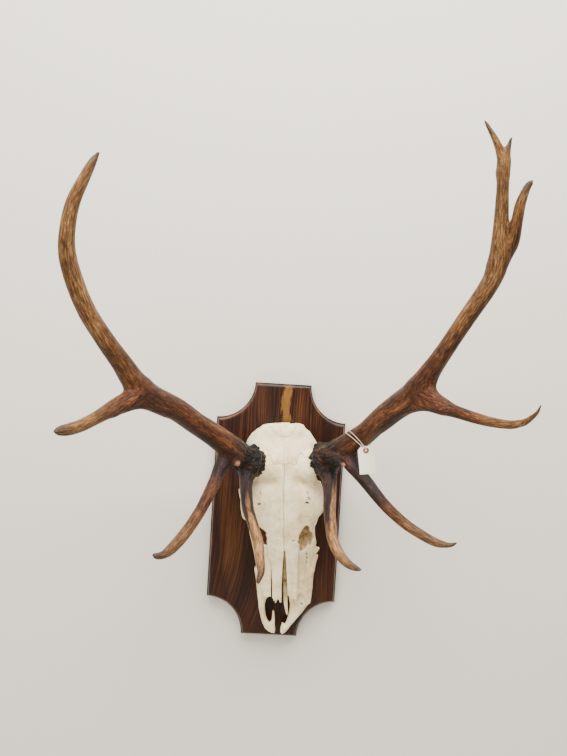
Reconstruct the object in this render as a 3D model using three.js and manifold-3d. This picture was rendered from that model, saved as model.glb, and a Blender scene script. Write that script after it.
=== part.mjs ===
import * as THREE from 'three';
import { LoftGeometry } from 'three/addons/geometries/LoftGeometry.js';
import { mergeVertices } from 'three/addons/utils/BufferGeometryUtils.js';
import Module from 'manifold-3d';

// An elk skull without its lower jaw, hung nose down on a wooden wall plaque, in millimetres.
// +X is to the viewer's right, +Z up the plaque and +Y into the wall. The origin is the middle
// of the plaque's back face.

// Plaque, with its moulded edge: a wall, a ledge and a round
const plaqueWidth = 280;
const plaqueHeight = 550;
const plaqueThickness = 19;
const cornerRadius = 79;
const edgeWall = 10;
const edgeLedge = 3;
const edgeRound = 5;

// Keyhole hanger let into the plaque's back, over a pocket for the nail's head
const hangerZ = 190;
const hangerWidth = 22;
const hangerLength = 66;
const hangerThickness = 1.6;
const pocketWidth = 16;
const pocketLength = 32;
const pocketDepth = 9;
const keyholeHeadRadius = 5;
const keyholeSlotRadius = 2.4;
const keyholeSlotLength = 14;
const hangerScrewPitch = 52;
const hangerScrew = { head: 3.2, shank: 1.5, cone: 1.7, length: 11, sides: 8 };

// Screws driven through the plaque into the underside of the skull, at these heights along it
const skullScrew = { head: 4.6, shank: 2.3, cone: 3, length: 52, sides: 8 };
const screwPoint = 3;
const screwRim = 0.4;
const skullScrewHeights = [ 222, 398 ];
const screwSink = 0.5;

// The skull stands askew on the plaque: its nose tip lies at noseX, noseZ, and it leans left
const noseX = 32;
const noseZ = - 257;
const skullLean = THREE.MathUtils.degToRad( 3.5 );

// Price tag of card, hung on thread from the right antler: its hole's place on the skull's frame
const tagWidth = 30;
const tagHeight = 51;
const tagClip = 6;
const tagThickness = 0.5;
const tagHole = [ 146.4, 216, 417.5 ];
const tagHoleDrop = 7.5;
const tagHoleRadius = 2.6;
const tagLean = THREE.MathUtils.degToRad( 5.2 );
const patchRadius = 5;
const patchThickness = 0.3;
const patchSides = 12;
const threadDiameter = 1.2;
const threadSteps = 62;
const threadSides = 8;

// Gap between pieces that touch
const gap = 0.3;

// Colours
const bone = { color: 0xe6dcc0, roughness: 0.62, metalness: 0 };
const horn = { color: 0x4a2f1c, roughness: 0.5, metalness: 0 };
const walnut = { color: 0x42210f, roughness: 0.38, metalness: 0 };
const card = { color: 0xe8dfc4, roughness: 0.8, metalness: 0 };
const patch = { color: 0x8a4a3a, roughness: 0.8, metalness: 0 };
const cotton = { color: 0xe4e2da, roughness: 0.9, metalness: 0 };
const steel = { color: 0xb4b4b0, roughness: 0.35, metalness: 1 };

const wasm = await Module();
wasm.setup();

// Solids to join and cut, from closed geometries whichever way their faces turn

function meshOf( geometry, flipped ) {

	const position = geometry.getAttribute( 'position' );
	const triVerts = new Uint32Array( geometry.getIndex().array );

	if ( flipped ) triVerts.reverse();

	return new wasm.Mesh( {
		numProp: 3,
		vertProperties: new Float32Array( position.array ),
		triVerts,
	} );

}

function solid( geometry ) {

	const bare = new THREE.BufferGeometry();
	bare.setAttribute( 'position', geometry.getAttribute( 'position' ) );
	bare.setIndex( geometry.getIndex() );
	const merged = mergeVertices( bare, 1e-4 );
	const body = new wasm.Manifold( meshOf( merged, false ) );

	return body.volume() < 0 ? new wasm.Manifold( meshOf( merged, true ) ) : body;

}

function join( bodies ) {

	return bodies.reduce( ( whole, body ) => whole.add( body ) );

}

function largest( body ) {

	return body.decompose().reduce( ( best, part ) => ( part.volume() > best.volume() ? part : best ) );

}

function geometryOf( body ) {

	const mesh = body.getMesh();
	const positions = new Float32Array( mesh.vertProperties );
	const geometry = new THREE.BufferGeometry();
	geometry.setAttribute( 'position', new THREE.BufferAttribute( positions, 3 ) );
	geometry.setIndex( new THREE.BufferAttribute( new Uint32Array( mesh.triVerts ), 1 ) );
	geometry.computeVertexNormals();

	return geometry;

}

function named( name, geometry, finish ) {

	const mesh = new THREE.Mesh( geometry, new THREE.MeshStandardMaterial( finish ) );
	mesh.name = name;

	return mesh;

}

// A point in the skull's own frame: out is its height above the plaque's face
function at( x, out, z ) {

	return new THREE.Vector3( x, - out, z );

}

// A ball, squeezed along each axis to the three half sizes
function ball( centre, halfX, halfOut, halfZ, sides ) {

	const geometry = new THREE.SphereGeometry( 1, sides, sides / 2 );
	geometry.scale( halfX, halfOut, halfZ );
	geometry.translate( centre.x, centre.y, centre.z );

	return solid( geometry );

}

// A round bar through stations of [x, out, z, radius], optionally flattened across and rippled by
// lengthwise grooves. grow widens it and pushes both ends out, for clearances.
function limb( stations, { sides = 10, perSpan = 2, flat = 1, ripple = 0, lobes = 5, grow = 0 } = {} ) {

	const curve = new THREE.CatmullRomCurve3( stations.map( ( [ x, out, z ] ) => at( x, out, z ) ) );
	const spans = stations.length - 1;
	const steps = Math.round( spans * perSpan );
	const across = new THREE.Vector3( 0.31, 1, 0.17 );
	const sections = [];

	for ( let i = 0; i <= steps; i ++ ) {

		const t = i / steps;
		const tangent = curve.getTangent( t );
		const centre = curve.getPoint( t );
		const span = Math.min( Math.floor( t * spans ), spans - 1 );
		const [ from, to ] = [ stations[ span ][ 3 ], stations[ span + 1 ][ 3 ] ];
		const radius = THREE.MathUtils.lerp( from, to, t * spans - span );

		if ( i === 0 ) centre.addScaledVector( tangent, - grow );
		if ( i === steps ) centre.addScaledVector( tangent, grow );

		across.addScaledVector( tangent, - across.dot( tangent ) ).normalize();
		const beside = new THREE.Vector3().crossVectors( tangent, across );
		const ring = [];

		for ( let j = 0; j < sides; j ++ ) {

			const angle = j / sides * Math.PI * 2;
			const reach = radius * ( 1 + ripple * Math.cos( lobes * angle ) ) + grow;
			ring.push( centre.clone()
				.addScaledVector( across, reach * Math.cos( angle ) )
				.addScaledVector( beside, reach * flat * Math.sin( angle ) ) );

		}

		sections.push( ring );

	}

	return solid( new LoftGeometry( sections, { capStart: true, capEnd: true } ) );

}

// A profile of [radius, height] turned round the Y axis
function turned( profile, sides ) {

	return new THREE.LatheGeometry(
		profile.map( ( [ radius, height ] ) => new THREE.Vector2( radius, height ) ),
		sides,
	);

}

// A countersunk screw pointing out of the wall, its head's flat at the given place. grow widens
// and lengthens it and opens it at the head, for the bore it sits in.
function screwBody( { head, shank, cone, length, sides }, place, grow = 0 ) {

	const top = grow > 0 ? 2 : 0;
	const geometry = turned( [
		[ 0, top ], [ head + grow, top ], [ head + grow, - screwRim ], [ shank + grow, - cone ],
		[ shank + grow, screwPoint - length ], [ 0, - length - grow ],
	], sides );
	geometry.translate( place.x, place.y, place.z );

	return solid( geometry );

}

// Antlers, as stations along the middle of each beam and tine, from the burr outwards

const leftBeam = [
	[ - 54, 122, 380, 26 ], [ - 69, 131, 385, 26 ], [ - 88, 145, 399, 25 ], [ - 108, 167, 420, 23.3 ],
	[ - 133, 191, 443, 21.4 ], [ - 162, 220, 467, 20.2 ], [ - 194, 256, 496, 20.3 ], [ - 228, 297, 519, 20.8 ],
	[ - 248, 329, 541, 19.8 ], [ - 266, 359, 577, 16.4 ], [ - 286, 383, 613, 14.5 ], [ - 308, 402, 655, 14 ],
	[ - 322, 417, 697, 13.8 ], [ - 330, 427, 738, 13.1 ], [ - 327, 435, 775, 11.4 ], [ - 317, 440, 813, 10.2 ],
	[ - 300, 442, 847, 8.3 ], [ - 288, 442, 870, 5.9 ], [ - 280, 441, 883, 2.2 ],
];

const rightBeam = [
	[ 67, 123, 381, 26 ], [ 81, 135, 391, 26 ], [ 97, 151, 403, 24.5 ], [ 121, 173, 423, 22.5 ],
	[ 148, 199, 447, 20.5 ], [ 175, 232, 481, 20.1 ], [ 196, 259, 503, 20.7 ], [ 216, 287, 524, 20.7 ],
	[ 229, 313, 548, 18.9 ], [ 239, 331, 569, 16 ], [ 254, 352, 598, 14.1 ], [ 281, 381, 649, 13.7 ],
	[ 304, 399, 689, 14 ], [ 315, 406, 713, 14.2 ], [ 318, 412, 735, 13.4 ], [ 318, 421, 769, 11.3 ],
	[ 318, 426, 794, 10.5 ], [ 317, 434, 828, 9.4 ], [ 316, 439, 853, 8.6 ], [ 314, 442, 871, 7.4 ],
	[ 310, 444, 884, 5.8 ], [ 302, 448, 902, 5 ], [ 289, 450, 924, 2.9 ], [ 284, 451, 931, 1.5 ],
];

const tines = {
	left_brow_tine: [
		[ - 72, 138, 378, 15 ], [ - 75, 163, 348, 12.5 ], [ - 74, 183, 332, 11.4 ], [ - 70, 207, 309, 10.7 ],
		[ - 63, 229, 293, 9.8 ], [ - 56, 249, 277, 9.4 ], [ - 50, 267, 260, 9.2 ], [ - 47, 287, 240, 8.1 ],
		[ - 45, 303, 224, 6.6 ], [ - 49, 315, 212, 4.2 ], [ - 50, 320, 209, 1.7 ],
	],
	left_bez_tine: [
		[ - 107, 163, 412, 16 ], [ - 122, 184, 383, 13.1 ], [ - 129, 203, 364, 11.8 ], [ - 142, 229, 337, 10.6 ],
		[ - 153, 251, 316, 10.2 ], [ - 167, 275, 296, 10 ], [ - 180, 293, 280, 10.1 ], [ - 196, 312, 265, 9.2 ],
		[ - 207, 324, 259, 6.8 ], [ - 216, 331, 259, 5.6 ], [ - 220, 335, 262, 3.3 ],
	],
	left_trez_tine: [
		[ - 240, 323, 536, 16 ], [ - 260, 351, 517, 14.5 ], [ - 269, 367, 512, 12.7 ], [ - 281, 387, 503, 11.5 ],
		[ - 295, 411, 493, 10.1 ], [ - 309, 433, 485, 9.6 ], [ - 321, 451, 481, 9.2 ], [ - 330, 463, 480, 7.6 ],
		[ - 336, 471, 480, 3.4 ],
	],
	right_brow_tine: [
		[ 80, 138, 379, 17 ], [ 84, 163, 351, 13.8 ], [ 83, 187, 327, 12.1 ], [ 80, 211, 306, 11.3 ],
		[ 80, 235, 284, 10.4 ], [ 81, 251, 268, 9.8 ], [ 86, 265, 253, 9.6 ], [ 96, 279, 238, 9 ],
		[ 107, 288, 229, 7.3 ], [ 118, 295, 225, 5.1 ], [ 125, 300, 224, 2.1 ],
	],
	right_bez_tine: [
		[ 113, 162, 414, 18 ], [ 125, 183, 387, 15 ], [ 135, 197, 374, 13.2 ], [ 149, 215, 357, 11.9 ],
		[ 170, 243, 330, 10.5 ], [ 188, 265, 312, 9.9 ], [ 207, 287, 297, 9.2 ], [ 230, 306, 284, 8.4 ],
		[ 248, 319, 276, 7.5 ], [ 262, 328, 274, 5.3 ], [ 272, 333, 275, 3.5 ], [ 279, 336, 279, 1.6 ],
	],
	right_trez_tine: [
		[ 220, 300, 532, 17 ], [ 244, 329, 512, 14 ], [ 261, 350, 503, 10.8 ], [ 278, 377, 496, 9.5 ],
		[ 303, 411, 488, 8.2 ], [ 327, 439, 485, 6.8 ], [ 338, 453, 488, 5.8 ], [ 345, 461, 492, 4.8 ],
		[ 355, 473, 505, 2.7 ], [ 358, 479, 516, 1.3 ],
	],
	right_fork_tine: [
		[ 319, 405, 725, 12 ], [ 329, 415, 743, 11 ], [ 336, 426, 760, 9.6 ], [ 336, 444, 790, 8.2 ],
		[ 337, 452, 809, 7.6 ], [ 343, 458, 830, 5.7 ], [ 348, 460, 838, 4.2 ], [ 350, 461, 841, 1.8 ],
	],
	right_crown_tine: [
		[ 315, 439, 860, 7 ], [ 319, 442, 874, 5.9 ], [ 319, 446, 885, 4.4 ], [ 322, 452, 903, 2 ],
		[ 323, 454, 906, 1.1 ],
	],
};

// A short spur on the right beam and a nub on the left, above the first tine
const rightSpur = [
	[ 86, 157, 393, 11.5 ], [ 94, 167, 388, 7.6 ], [ 103, 177, 385, 5.6 ], [ 110, 185, 384, 3.7 ],
];
const leftNub = [ [ - 98, 155, 402, 9 ], [ - 93, 171, 391, 6 ], [ - 90, 179, 387, 3.8 ] ];

// Stations on the line of a beam's foot, from a profile of [distance, radius]
function alongFoot( beam, profile ) {

	const foot = at( ...beam[ 0 ] );
	const along = at( ...beam[ 1 ] ).sub( foot ).normalize();

	return profile.map( ( [ distance, radius ] ) => {

		const centre = foot.clone().addScaledVector( along, distance );
		return [ centre.x, - centre.y, centre.z, radius ];

	} );

}

// The burr is a knobbly collar round the foot of a beam
const burrProfile = [ [ 0, 24 ], [ 5.5, 31 ], [ 11, 33.5 ], [ 16.5, 31 ], [ 22, 26 ] ];
const burrKnobs = 8;
const burrKnobHeight = 0.05;

function burr( beam, grow = 0 ) {

	return limb( alongFoot( beam, burrProfile ), {
		sides: burrKnobs * 2,
		perSpan: 1,
		ripple: burrKnobHeight,
		lobes: burrKnobs,
		grow,
	} );

}

const beamGrooves = { sides: 10, perSpan: 1, ripple: 0.03, lobes: 5 };

function beamBody( beam, growths, grow = 0 ) {

	const trunk = limb( beam, { ...beamGrooves, grow } );
	const spurs = growths.map( ( stations ) => limb( stations, { sides: 8, perSpan: 1, grow } ) );

	return join( [ trunk, burr( beam, grow ), ...spurs ] );

}

// Skull: the body of face and braincase as cross sections of
// [z, left, right, crown, waist, floor]: half widths, and heights above the plaque of the
// midline, the widest line and the underside

const skullSections = [
	[ 78, 53, 48, 62, 36, 22 ],
	[ 112, 56, 57, 70, 40, 19 ],
	[ 150, 58, 60, 81, 44, 18 ],
	[ 198, 67, 68, 96, 50, 18 ],
	[ 240, 73, 64, 108, 56, 20 ],
	[ 272, 76, 68, 117, 84, 24 ],
	[ 300, 80, 68, 124, 94, 30 ],
	[ 330, 72, 64, 129, 96, 28 ],
	[ 352, 54, 52, 131, 88, 22 ],
	[ 380, 52, 50, 131, 78, 17 ],
	[ 398, 66, 60, 125, 76, 18 ],
	[ 414, 77, 67, 118, 77, 24 ],
	[ 436, 68, 61, 109, 82, 36 ],
	[ 450, 54, 50, 103, 88, 62 ],
	[ 456, 42, 40, 100, 91, 82 ],
];

const sectionSides = 14;
const crownFullness = 0.72;
const floorFullness = 0.6;

function skullRing( [ z, left, right, crown, waist, floor ] ) {

	const ring = [];

	for ( let j = 0; j < sectionSides; j ++ ) {

		const angle = - j / sectionSides * Math.PI * 2;
		const side = Math.cos( angle );
		const rise = Math.sin( angle );
		const half = side > 0 ? right : left;
		const reach = rise > 0 ? crown - waist : waist - floor;
		const fullness = rise > 0 ? crownFullness : floorFullness;
		const x = half * Math.sign( side ) * Math.abs( side ) ** fullness;
		const out = waist + reach * Math.sign( rise ) * Math.abs( rise ) ** fullness;
		ring.push( at( x, out, z ) );

	}

	return ring;

}

// One side of the paired features. side is -1 on the viewer's left and 1 on the right, where
// the skull sits a little narrower.

const orbitLateral = { left: 83, right: 67 };
const orbitOut = 78;
const orbitZ = 301;
const orbitRimRadius = 27;
const orbitRimTube = 7.5;
const orbitStretch = 1.08;
const orbitTilt = 0.2;
const orbitTurn = 0.18;
const orbitSocket = 25;
const orbitSocketShift = 4;

function orbitX( side ) {

	return side < 0 ? - orbitLateral.left : orbitLateral.right;

}

function orbitRim( side ) {

	const ring = new THREE.TorusGeometry( orbitRimRadius, orbitRimTube, 5, 12 );
	ring.rotateY( Math.PI / 2 );
	ring.scale( 1, 1, orbitStretch );
	ring.rotateX( - orbitTilt );
	ring.rotateZ( - side * orbitTurn );
	const centre = at( orbitX( side ), orbitOut, orbitZ );
	ring.translate( centre.x, centre.y, centre.z );

	return solid( ring );

}

function orbitSocketBody( side ) {

	const x = orbitX( side ) + side * orbitSocketShift;

	return ball( at( x, orbitOut, orbitZ ), orbitSocket, orbitSocket, orbitSocket + 1, 10 );

}

function cheekArch( side ) {

	const x = orbitX( side );
	const stations = [
		[ x * 0.88, 50, 252, 9 ], [ x * 0.98, 50, 282, 8 ], [ x * 1.06, 50, 312, 7.5 ], [ x * 1.06, 52, 340, 6.5 ],
		[ x, 52, 366, 6.5 ], [ x * 0.86, 54, 388, 8 ], [ x * 0.7, 58, 404, 9 ],
	];

	return limb( stations, { sides: 6, perSpan: 1, flat: 0.75 } );

}

// The stump of bone that carries an antler, as [distance from the beam's foot, radius]
const pedicleProfile = [ [ - 34, 30 ], [ - 14, 27 ], [ 4, 25 ] ];

function pedicle( beam ) {

	return limb( alongFoot( beam, pedicleProfile ), { sides: 10, perSpan: 1 } );

}

// Cheek teeth, six a side, from the front one back
const toothCount = 6;
const toothPitch = 21;
const toothSplay = 2.1;
const firstToothX = 33;
const firstToothZ = 132;
const toothHeight = 24;
const toothRadius = 9.5;
const rootRadius = 7.5;
const rootGrowth = 0.4;

function toothRow( side ) {

	const teeth = [];

	for ( let i = 0; i < toothCount; i ++ ) {

		const tooth = new THREE.CylinderGeometry( toothRadius, rootRadius + i * rootGrowth, toothHeight, 5 );
		const x = side * ( firstToothX + i * toothSplay );
		const centre = at( x, gap + toothHeight / 2, firstToothZ + i * toothPitch );
		tooth.scale( 1, 1, 1.1 );
		tooth.translate( centre.x, centre.y, centre.z );
		teeth.push( solid( tooth ) );

	}

	return join( teeth );

}

// The front of the upper jaw: two unequal prongs that enclose the nose opening, each with a short
// inner splint
const leftFrontBone = [
	[ - 44, 44, 122, 12 ], [ - 47, 38, 92, 10 ], [ - 48, 32, 66, 9 ], [ - 44, 27, 38, 8 ], [ - 38, 24, 20, 8 ],
	[ - 28, 22, 8, 6.5 ], [ - 20, 21, 5, 4 ],
];
const leftSplint = [ [ - 24, 21, 6, 4.5 ], [ - 21, 22, 24, 3.5 ], [ - 21, 23, 50, 1.8 ] ];
const rightFrontBone = [
	[ 44, 44, 118, 14 ], [ 40, 40, 90, 13 ], [ 30, 34, 64, 12 ], [ 20, 28, 40, 10 ], [ 8, 24, 20, 8 ],
	[ 0, 22, 7, 6 ], [ - 4, 21, 0, 3.5 ],
];
const rightSplint = [ [ - 1, 22, 8, 4 ], [ - 3, 24, 23, 1.8 ] ];

// Nose bones, two blades that jut over the nose opening with a gap between them
const noseBoneTipZ = 81;
const leftNoseBone = [
	[ - 15, 103, 240, 11 ], [ - 15, 91, 210, 11 ], [ - 15, 76, 160, 11 ], [ - 14, 65, 120, 10 ],
	[ - 12, 58, noseBoneTipZ, 7 ],
];
const rightNoseBone = [
	[ 13, 103, 240, 11 ], [ 14, 91, 210, 11 ], [ 16, 76, 160, 11 ], [ 17, 65, 120, 11 ],
	[ 19, 58, noseBoneTipZ, 9 ],
];
const septum = [ [ 0, 66, 200, 5 ], [ 0, 52, 150, 5 ], [ 2, 44, 110, 4.5 ], [ 3, 38, 68, 3 ] ];

// The nose passage, from the open front back into the face
const nosePassage = [
	[ 56, 30, 40, 90, 58, 10 ],
	[ 78, 38, 34, 90, 52, 8 ],
	[ 104, 40, 42, 84, 48, 12 ],
	[ 132, 36, 38, 70, 44, 26 ],
	[ 170, 28, 30, 76, 50, 28 ],
	[ 196, 14, 14, 66, 54, 44 ],
];

// Pits in front of the eyes, open into the face
const tearPits = [
	{ centre: at( - 44, 84, 224 ), size: [ 15, 30, 20 ] },
	{ centre: at( 47, 86, 220 ), size: [ 16, 30, 22 ] },
];

// The broken end of the right cheek
const cheekSpur = [ [ 58, 58, 196, 8 ], [ 66, 62, 200, 5 ], [ 72, 66, 204, 1.6 ] ];

// The spike beside each knuckle of the neck joint, on the viewer's right
const spike = [ [ 44, 46, 408, 11 ], [ 42, 22, 404, 7 ], [ 38, 3.5, 400, 3 ] ];

function skullBody() {

	const body = solid( new LoftGeometry( skullSections.map( skullRing ), { capStart: true, capEnd: true } ) );
	const passage = solid( new LoftGeometry( nosePassage.map( skullRing ), { capStart: true, capEnd: true } ) );
	const mouthRoof = ball( at( 0, - 2, 170 ), 27, 30, 110, 8 );
	const throat = ball( at( 0, 0, 320 ), 30, 34, 62, 8 );
	const templeHollows = [ - 1, 1 ].map( ( side ) => ball( at( side * 78, 96, 366 ), 30, 44, 24, 8 ) );
	const brainHole = ball( at( 0, 40, 446 ), 14, 15, 30, 8 );
	const shell = body
		.subtract( passage )
		.subtract( mouthRoof )
		.subtract( throat )
		.subtract( join( templeHollows ) );
	const condyles = [ - 1, 1 ].map( ( side ) => ball( at( side * 19, 26, 432 ), 13, 20, 17, 8 ) );
	const spikes = [ - 1, 1 ].map( ( side ) => limb(
		spike.map( ( [ x, ...rest ] ) => [ side * x, ...rest ] ),
		{ sides: 5, perSpan: 1 },
	) );
	const paired = [ - 1, 1 ].flatMap( ( side ) => [ orbitRim( side ), cheekArch( side ), toothRow( side ) ] );
	const pits = tearPits.map( ( { centre, size } ) => ball( centre, ...size, 8 ) );
	const whole = join( [ shell, ...paired, ...condyles, ...spikes, pedicle( leftBeam ), pedicle( rightBeam ) ] )
		.subtract( orbitSocketBody( - 1 ) )
		.subtract( orbitSocketBody( 1 ) )
		.subtract( join( pits ) )
		.subtract( brainHole );
	const front = [
		limb( leftFrontBone, { sides: 7, perSpan: 1 } ),
		limb( rightFrontBone, { sides: 7, perSpan: 1 } ),
		limb( leftSplint, { sides: 5, perSpan: 1 } ),
		limb( rightSplint, { sides: 5, perSpan: 1 } ),
		limb( leftNoseBone, { sides: 6, perSpan: 1, flat: 0.4 } ),
		limb( rightNoseBone, { sides: 6, perSpan: 1, flat: 0.4 } ),
		limb( septum, { sides: 5, perSpan: 1 } ),
		limb( cheekSpur, { sides: 5, perSpan: 1 } ),
	];

	return join( [ whole, ...front ] );

}

const antlerGrowths = { left: [ leftNub ], right: [ rightSpur ] };

const skullScrewPlaces = skullScrewHeights.map( ( z ) => at( 0, screwSink - plaqueThickness, z ) );

// The skull stops short of everything that lies behind the plaque's face
const wallSide = new THREE.BoxGeometry( 900, 40, 1200 );
wallSide.translate( 0, 20 - gap, 200 );

const skull = largest( skullBody()
	.subtract( beamBody( leftBeam, antlerGrowths.left, gap ) )
	.subtract( beamBody( rightBeam, antlerGrowths.right, gap ) )
	.subtract( join( skullScrewPlaces.map( ( place ) => screwBody( skullScrew, place, gap ) ) ) )
	.subtract( solid( wallSide ) ) );

const trophy = new THREE.Group();
trophy.position.set( noseX, - plaqueThickness, noseZ );
trophy.rotation.y = - skullLean;
trophy.add( named( 'skull', geometryOf( skull ), bone ) );

const beams = { left: leftBeam, right: rightBeam };

for ( const [ side, beam ] of Object.entries( beams ) ) {

	const body = beamBody( beam, antlerGrowths[ side ] );
	trophy.add( named( `${ side }_antler_beam`, geometryOf( body ), horn ) );

}

for ( const [ name, stations ] of Object.entries( tines ) ) {

	const side = name.split( '_' )[ 0 ];
	const clearance = beamBody( beams[ side ], antlerGrowths[ side ], gap );
	const tine = limb( stations, { sides: 8, perSpan: 1, ripple: 0.02, lobes: 2 } );
	trophy.add( named( name, geometryOf( largest( tine.subtract( clearance ) ) ), horn ) );

}

// Plaque

// The plaque's outline, inset all round: an upright board whose corners are scooped out in
// quarter circles
function plaqueOutline( inset ) {

	const outline = new THREE.Shape();
	const radius = cornerRadius + inset;
	const start = Math.asin( inset / radius );
	const corners = [ [ 1, 1 ], [ - 1, 1 ], [ - 1, - 1 ], [ 1, - 1 ] ];

	corners.forEach( ( [ sideX, sideZ ], i ) => {

		const turn = i * Math.PI / 2;
		outline.absarc(
			sideX * plaqueWidth / 2,
			sideZ * plaqueHeight / 2,
			radius,
			1.5 * Math.PI - start + turn,
			Math.PI + start + turn,
			true,
		);

	} );
	outline.closePath();

	return outline;

}

// A flat outline given thickness, standing up with its back at the height out above the wall
function slab( outline, out, thickness, options = {} ) {

	const geometry = new THREE.ExtrudeGeometry( outline, {
		depth: thickness,
		bevelEnabled: false,
		curveSegments: 4,
		...options,
	} );
	geometry.rotateX( Math.PI / 2 );
	geometry.translate( 0, - out, 0 );

	return geometry;

}

function block( width, thickness, height, x, y, z ) {

	const geometry = new THREE.BoxGeometry( width, thickness, height );
	geometry.translate( x, y, z );

	return solid( geometry );

}

function hangerOutline() {

	const outline = new THREE.Shape();
	const end = hangerLength / 2 - hangerWidth / 2;
	outline.absarc( 0, end, hangerWidth / 2, 0, Math.PI );
	outline.absarc( 0, - end, hangerWidth / 2, Math.PI, 2 * Math.PI );
	outline.closePath();

	return outline;

}

// The keyhole: a round hole that a nail's head passes, and a slot above it for the shank
function keyhole() {

	const meet = Math.asin( keyholeSlotRadius / keyholeHeadRadius );
	const hole = new THREE.Path();
	hole.absarc( 0, - keyholeSlotLength / 2, keyholeHeadRadius, Math.PI / 2 + meet, 2.5 * Math.PI - meet );
	hole.absarc( 0, keyholeSlotLength / 2, keyholeSlotRadius, 0, Math.PI );
	hole.closePath();

	return hole;

}

const hangerScrewCentres = [ - 1, 1 ].map(
	( side ) => new THREE.Vector3( 0, - screwSink, hangerZ + side * hangerScrewPitch / 2 ),
);
const hangerPlateBack = gap;

function hangerPlate() {

	const outline = hangerOutline();
	outline.holes.push( keyhole() );
	const plate = slab( outline, hangerPlateBack, hangerThickness );
	plate.translate( 0, 0, hangerZ );

	return hangerScrewCentres.reduce(
		( body, centre ) => body.subtract( screwBody( hangerScrew, centre, gap ) ),
		solid( plate ),
	);

}

function plaqueBody( skullScrewCentres ) {

	const board = solid( slab( plaqueOutline( 0 ), 0, edgeWall ) );
	const raisedBack = edgeWall - 2;
	const raisedWall = plaqueThickness - edgeRound - raisedBack;
	const raised = solid( slab( plaqueOutline( edgeLedge ), raisedBack, raisedWall, {
		bevelEnabled: true,
		bevelThickness: edgeRound,
		bevelSize: edgeRound,
		bevelOffset: - edgeRound,
		bevelSegments: 2,
	} ) );
	const recess = slab( hangerOutline(), - 1, 1 + hangerPlateBack + hangerThickness + gap );
	recess.scale( 1 + 2 * gap / hangerWidth, 1, 1 + 2 * gap / hangerLength );
	recess.translate( 0, 0, hangerZ );
	const pocket = block( pocketWidth, 2 * pocketDepth, pocketLength, 0, 0, hangerZ );
	const bores = [
		...hangerScrewCentres.map( ( centre ) => screwBody( hangerScrew, centre, gap ) ),
		...skullScrewCentres.map( ( centre ) => screwBody( skullScrew, centre, gap ) ),
	];

	return join( [ board, raised ] ).subtract( join( [ solid( recess ), pocket, ...bores ] ) );

}

// Price tag

function tagBody() {

	const half = tagWidth / 2;
	const top = tagHoleDrop;
	const foot = top - tagHeight;
	const outline = new THREE.Shape();
	outline.moveTo( - half, foot );
	outline.lineTo( half, foot );
	outline.lineTo( half, top - tagClip );
	outline.lineTo( half - tagClip, top );
	outline.lineTo( - half + tagClip, top );
	outline.lineTo( - half, top - tagClip );
	outline.closePath();
	const hole = new THREE.Path();
	hole.absarc( 0, 0, tagHoleRadius + gap + patchThickness, 0, 2 * Math.PI );
	outline.holes.push( hole );

	return solid( slab( outline, - tagThickness / 2, tagThickness, { curveSegments: 5 } ) );

}

// The patch that strengthens the hole: a flat collar on both faces, joined through the hole
function tagPatch() {

	const inner = tagThickness / 2 + gap;
	const outer = inner + patchThickness;
	const profile = [
		[ tagHoleRadius, - outer ], [ patchRadius, - outer ], [ patchRadius, - inner ],
		[ tagHoleRadius + patchThickness, - inner ], [ tagHoleRadius + patchThickness, inner ],
		[ patchRadius, inner ], [ patchRadius, outer ], [ tagHoleRadius, outer ],
		[ tagHoleRadius, - outer ],
	];

	return solid( turned( profile, patchSides ) );

}

// The thread's route on the skull's frame as [x, out, z]: from the tag's hole over the beam, twice
// round it, and back to the hole
const threadRoute = [
	[ 146.9, 214.2, 417 ], [ 146.2, 217.9, 419.4 ], [ 140.5, 218, 424 ], [ 133.5, 214.5, 429.5 ],
	[ 126.5, 209.6, 436 ], [ 119.5, 202.5, 442 ], [ 112.3, 181, 448 ], [ 125.6, 168, 450.5 ],
	[ 142, 164.5, 442.5 ], [ 153, 172.5, 429 ], [ 153, 189, 419.5 ], [ 144.4, 203.6, 419.8 ],
	[ 138, 210.5, 424.2 ], [ 137, 213.6, 427.5 ], [ 142, 213.5, 427 ], [ 151, 207, 423.8 ],
	[ 158, 194, 424.3 ], [ 158, 177.5, 433.7 ], [ 147, 169.5, 447 ], [ 131, 173.5, 455.5 ],
	[ 117.8, 186, 453 ], [ 124.5, 206.8, 446 ], [ 131.5, 213.6, 438.5 ], [ 138, 216.6, 431 ],
	[ 143.2, 218.3, 424.6 ], [ 147.6, 217.9, 419.2 ], [ 147.6, 214.2, 416.9 ],
];

function threadBody() {

	const route = new THREE.CatmullRomCurve3( threadRoute.map( ( [ x, out, z ] ) => at( x, out, z ) ) );
	const section = new THREE.Shape();
	section.absarc( 0, 0, threadDiameter / 2, 0, 2 * Math.PI );

	return solid( new THREE.ExtrudeGeometry( section, {
		steps: threadSteps,
		extrudePath: route,
		curveSegments: threadSides / 2,
	} ) );

}

const mount = new THREE.Group();
mount.add( trophy );
trophy.updateMatrixWorld();

skullScrewPlaces.forEach( ( place, i ) => {

	trophy.add( named( `skull_screw_${ i + 1 }`, geometryOf( screwBody( skullScrew, place ) ), steel ) );

} );
hangerScrewCentres.forEach( ( centre, i ) => {

	mount.add( named( `hanger_screw_${ i + 1 }`, geometryOf( screwBody( hangerScrew, centre ) ), steel ) );

} );

const skullScrewCentres = skullScrewPlaces.map( ( place ) => trophy.localToWorld( place.clone() ) );
mount.add( named( 'plaque', geometryOf( plaqueBody( skullScrewCentres ) ), walnut ) );
mount.add( named( 'hanger_plate', geometryOf( hangerPlate() ), steel ) );

const tagGroup = new THREE.Group();
tagGroup.position.copy( at( ...tagHole ) );
tagGroup.rotation.y = - tagLean;
tagGroup.add( named( 'tag', geometryOf( tagBody() ), card ) );
tagGroup.add( named( 'tag_patch', geometryOf( tagPatch() ), patch ) );
trophy.add( tagGroup );
trophy.add( named( 'tag_thread', geometryOf( threadBody() ), cotton ) );

export default mount;
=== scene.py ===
import math
import time
from itertools import product

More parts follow.
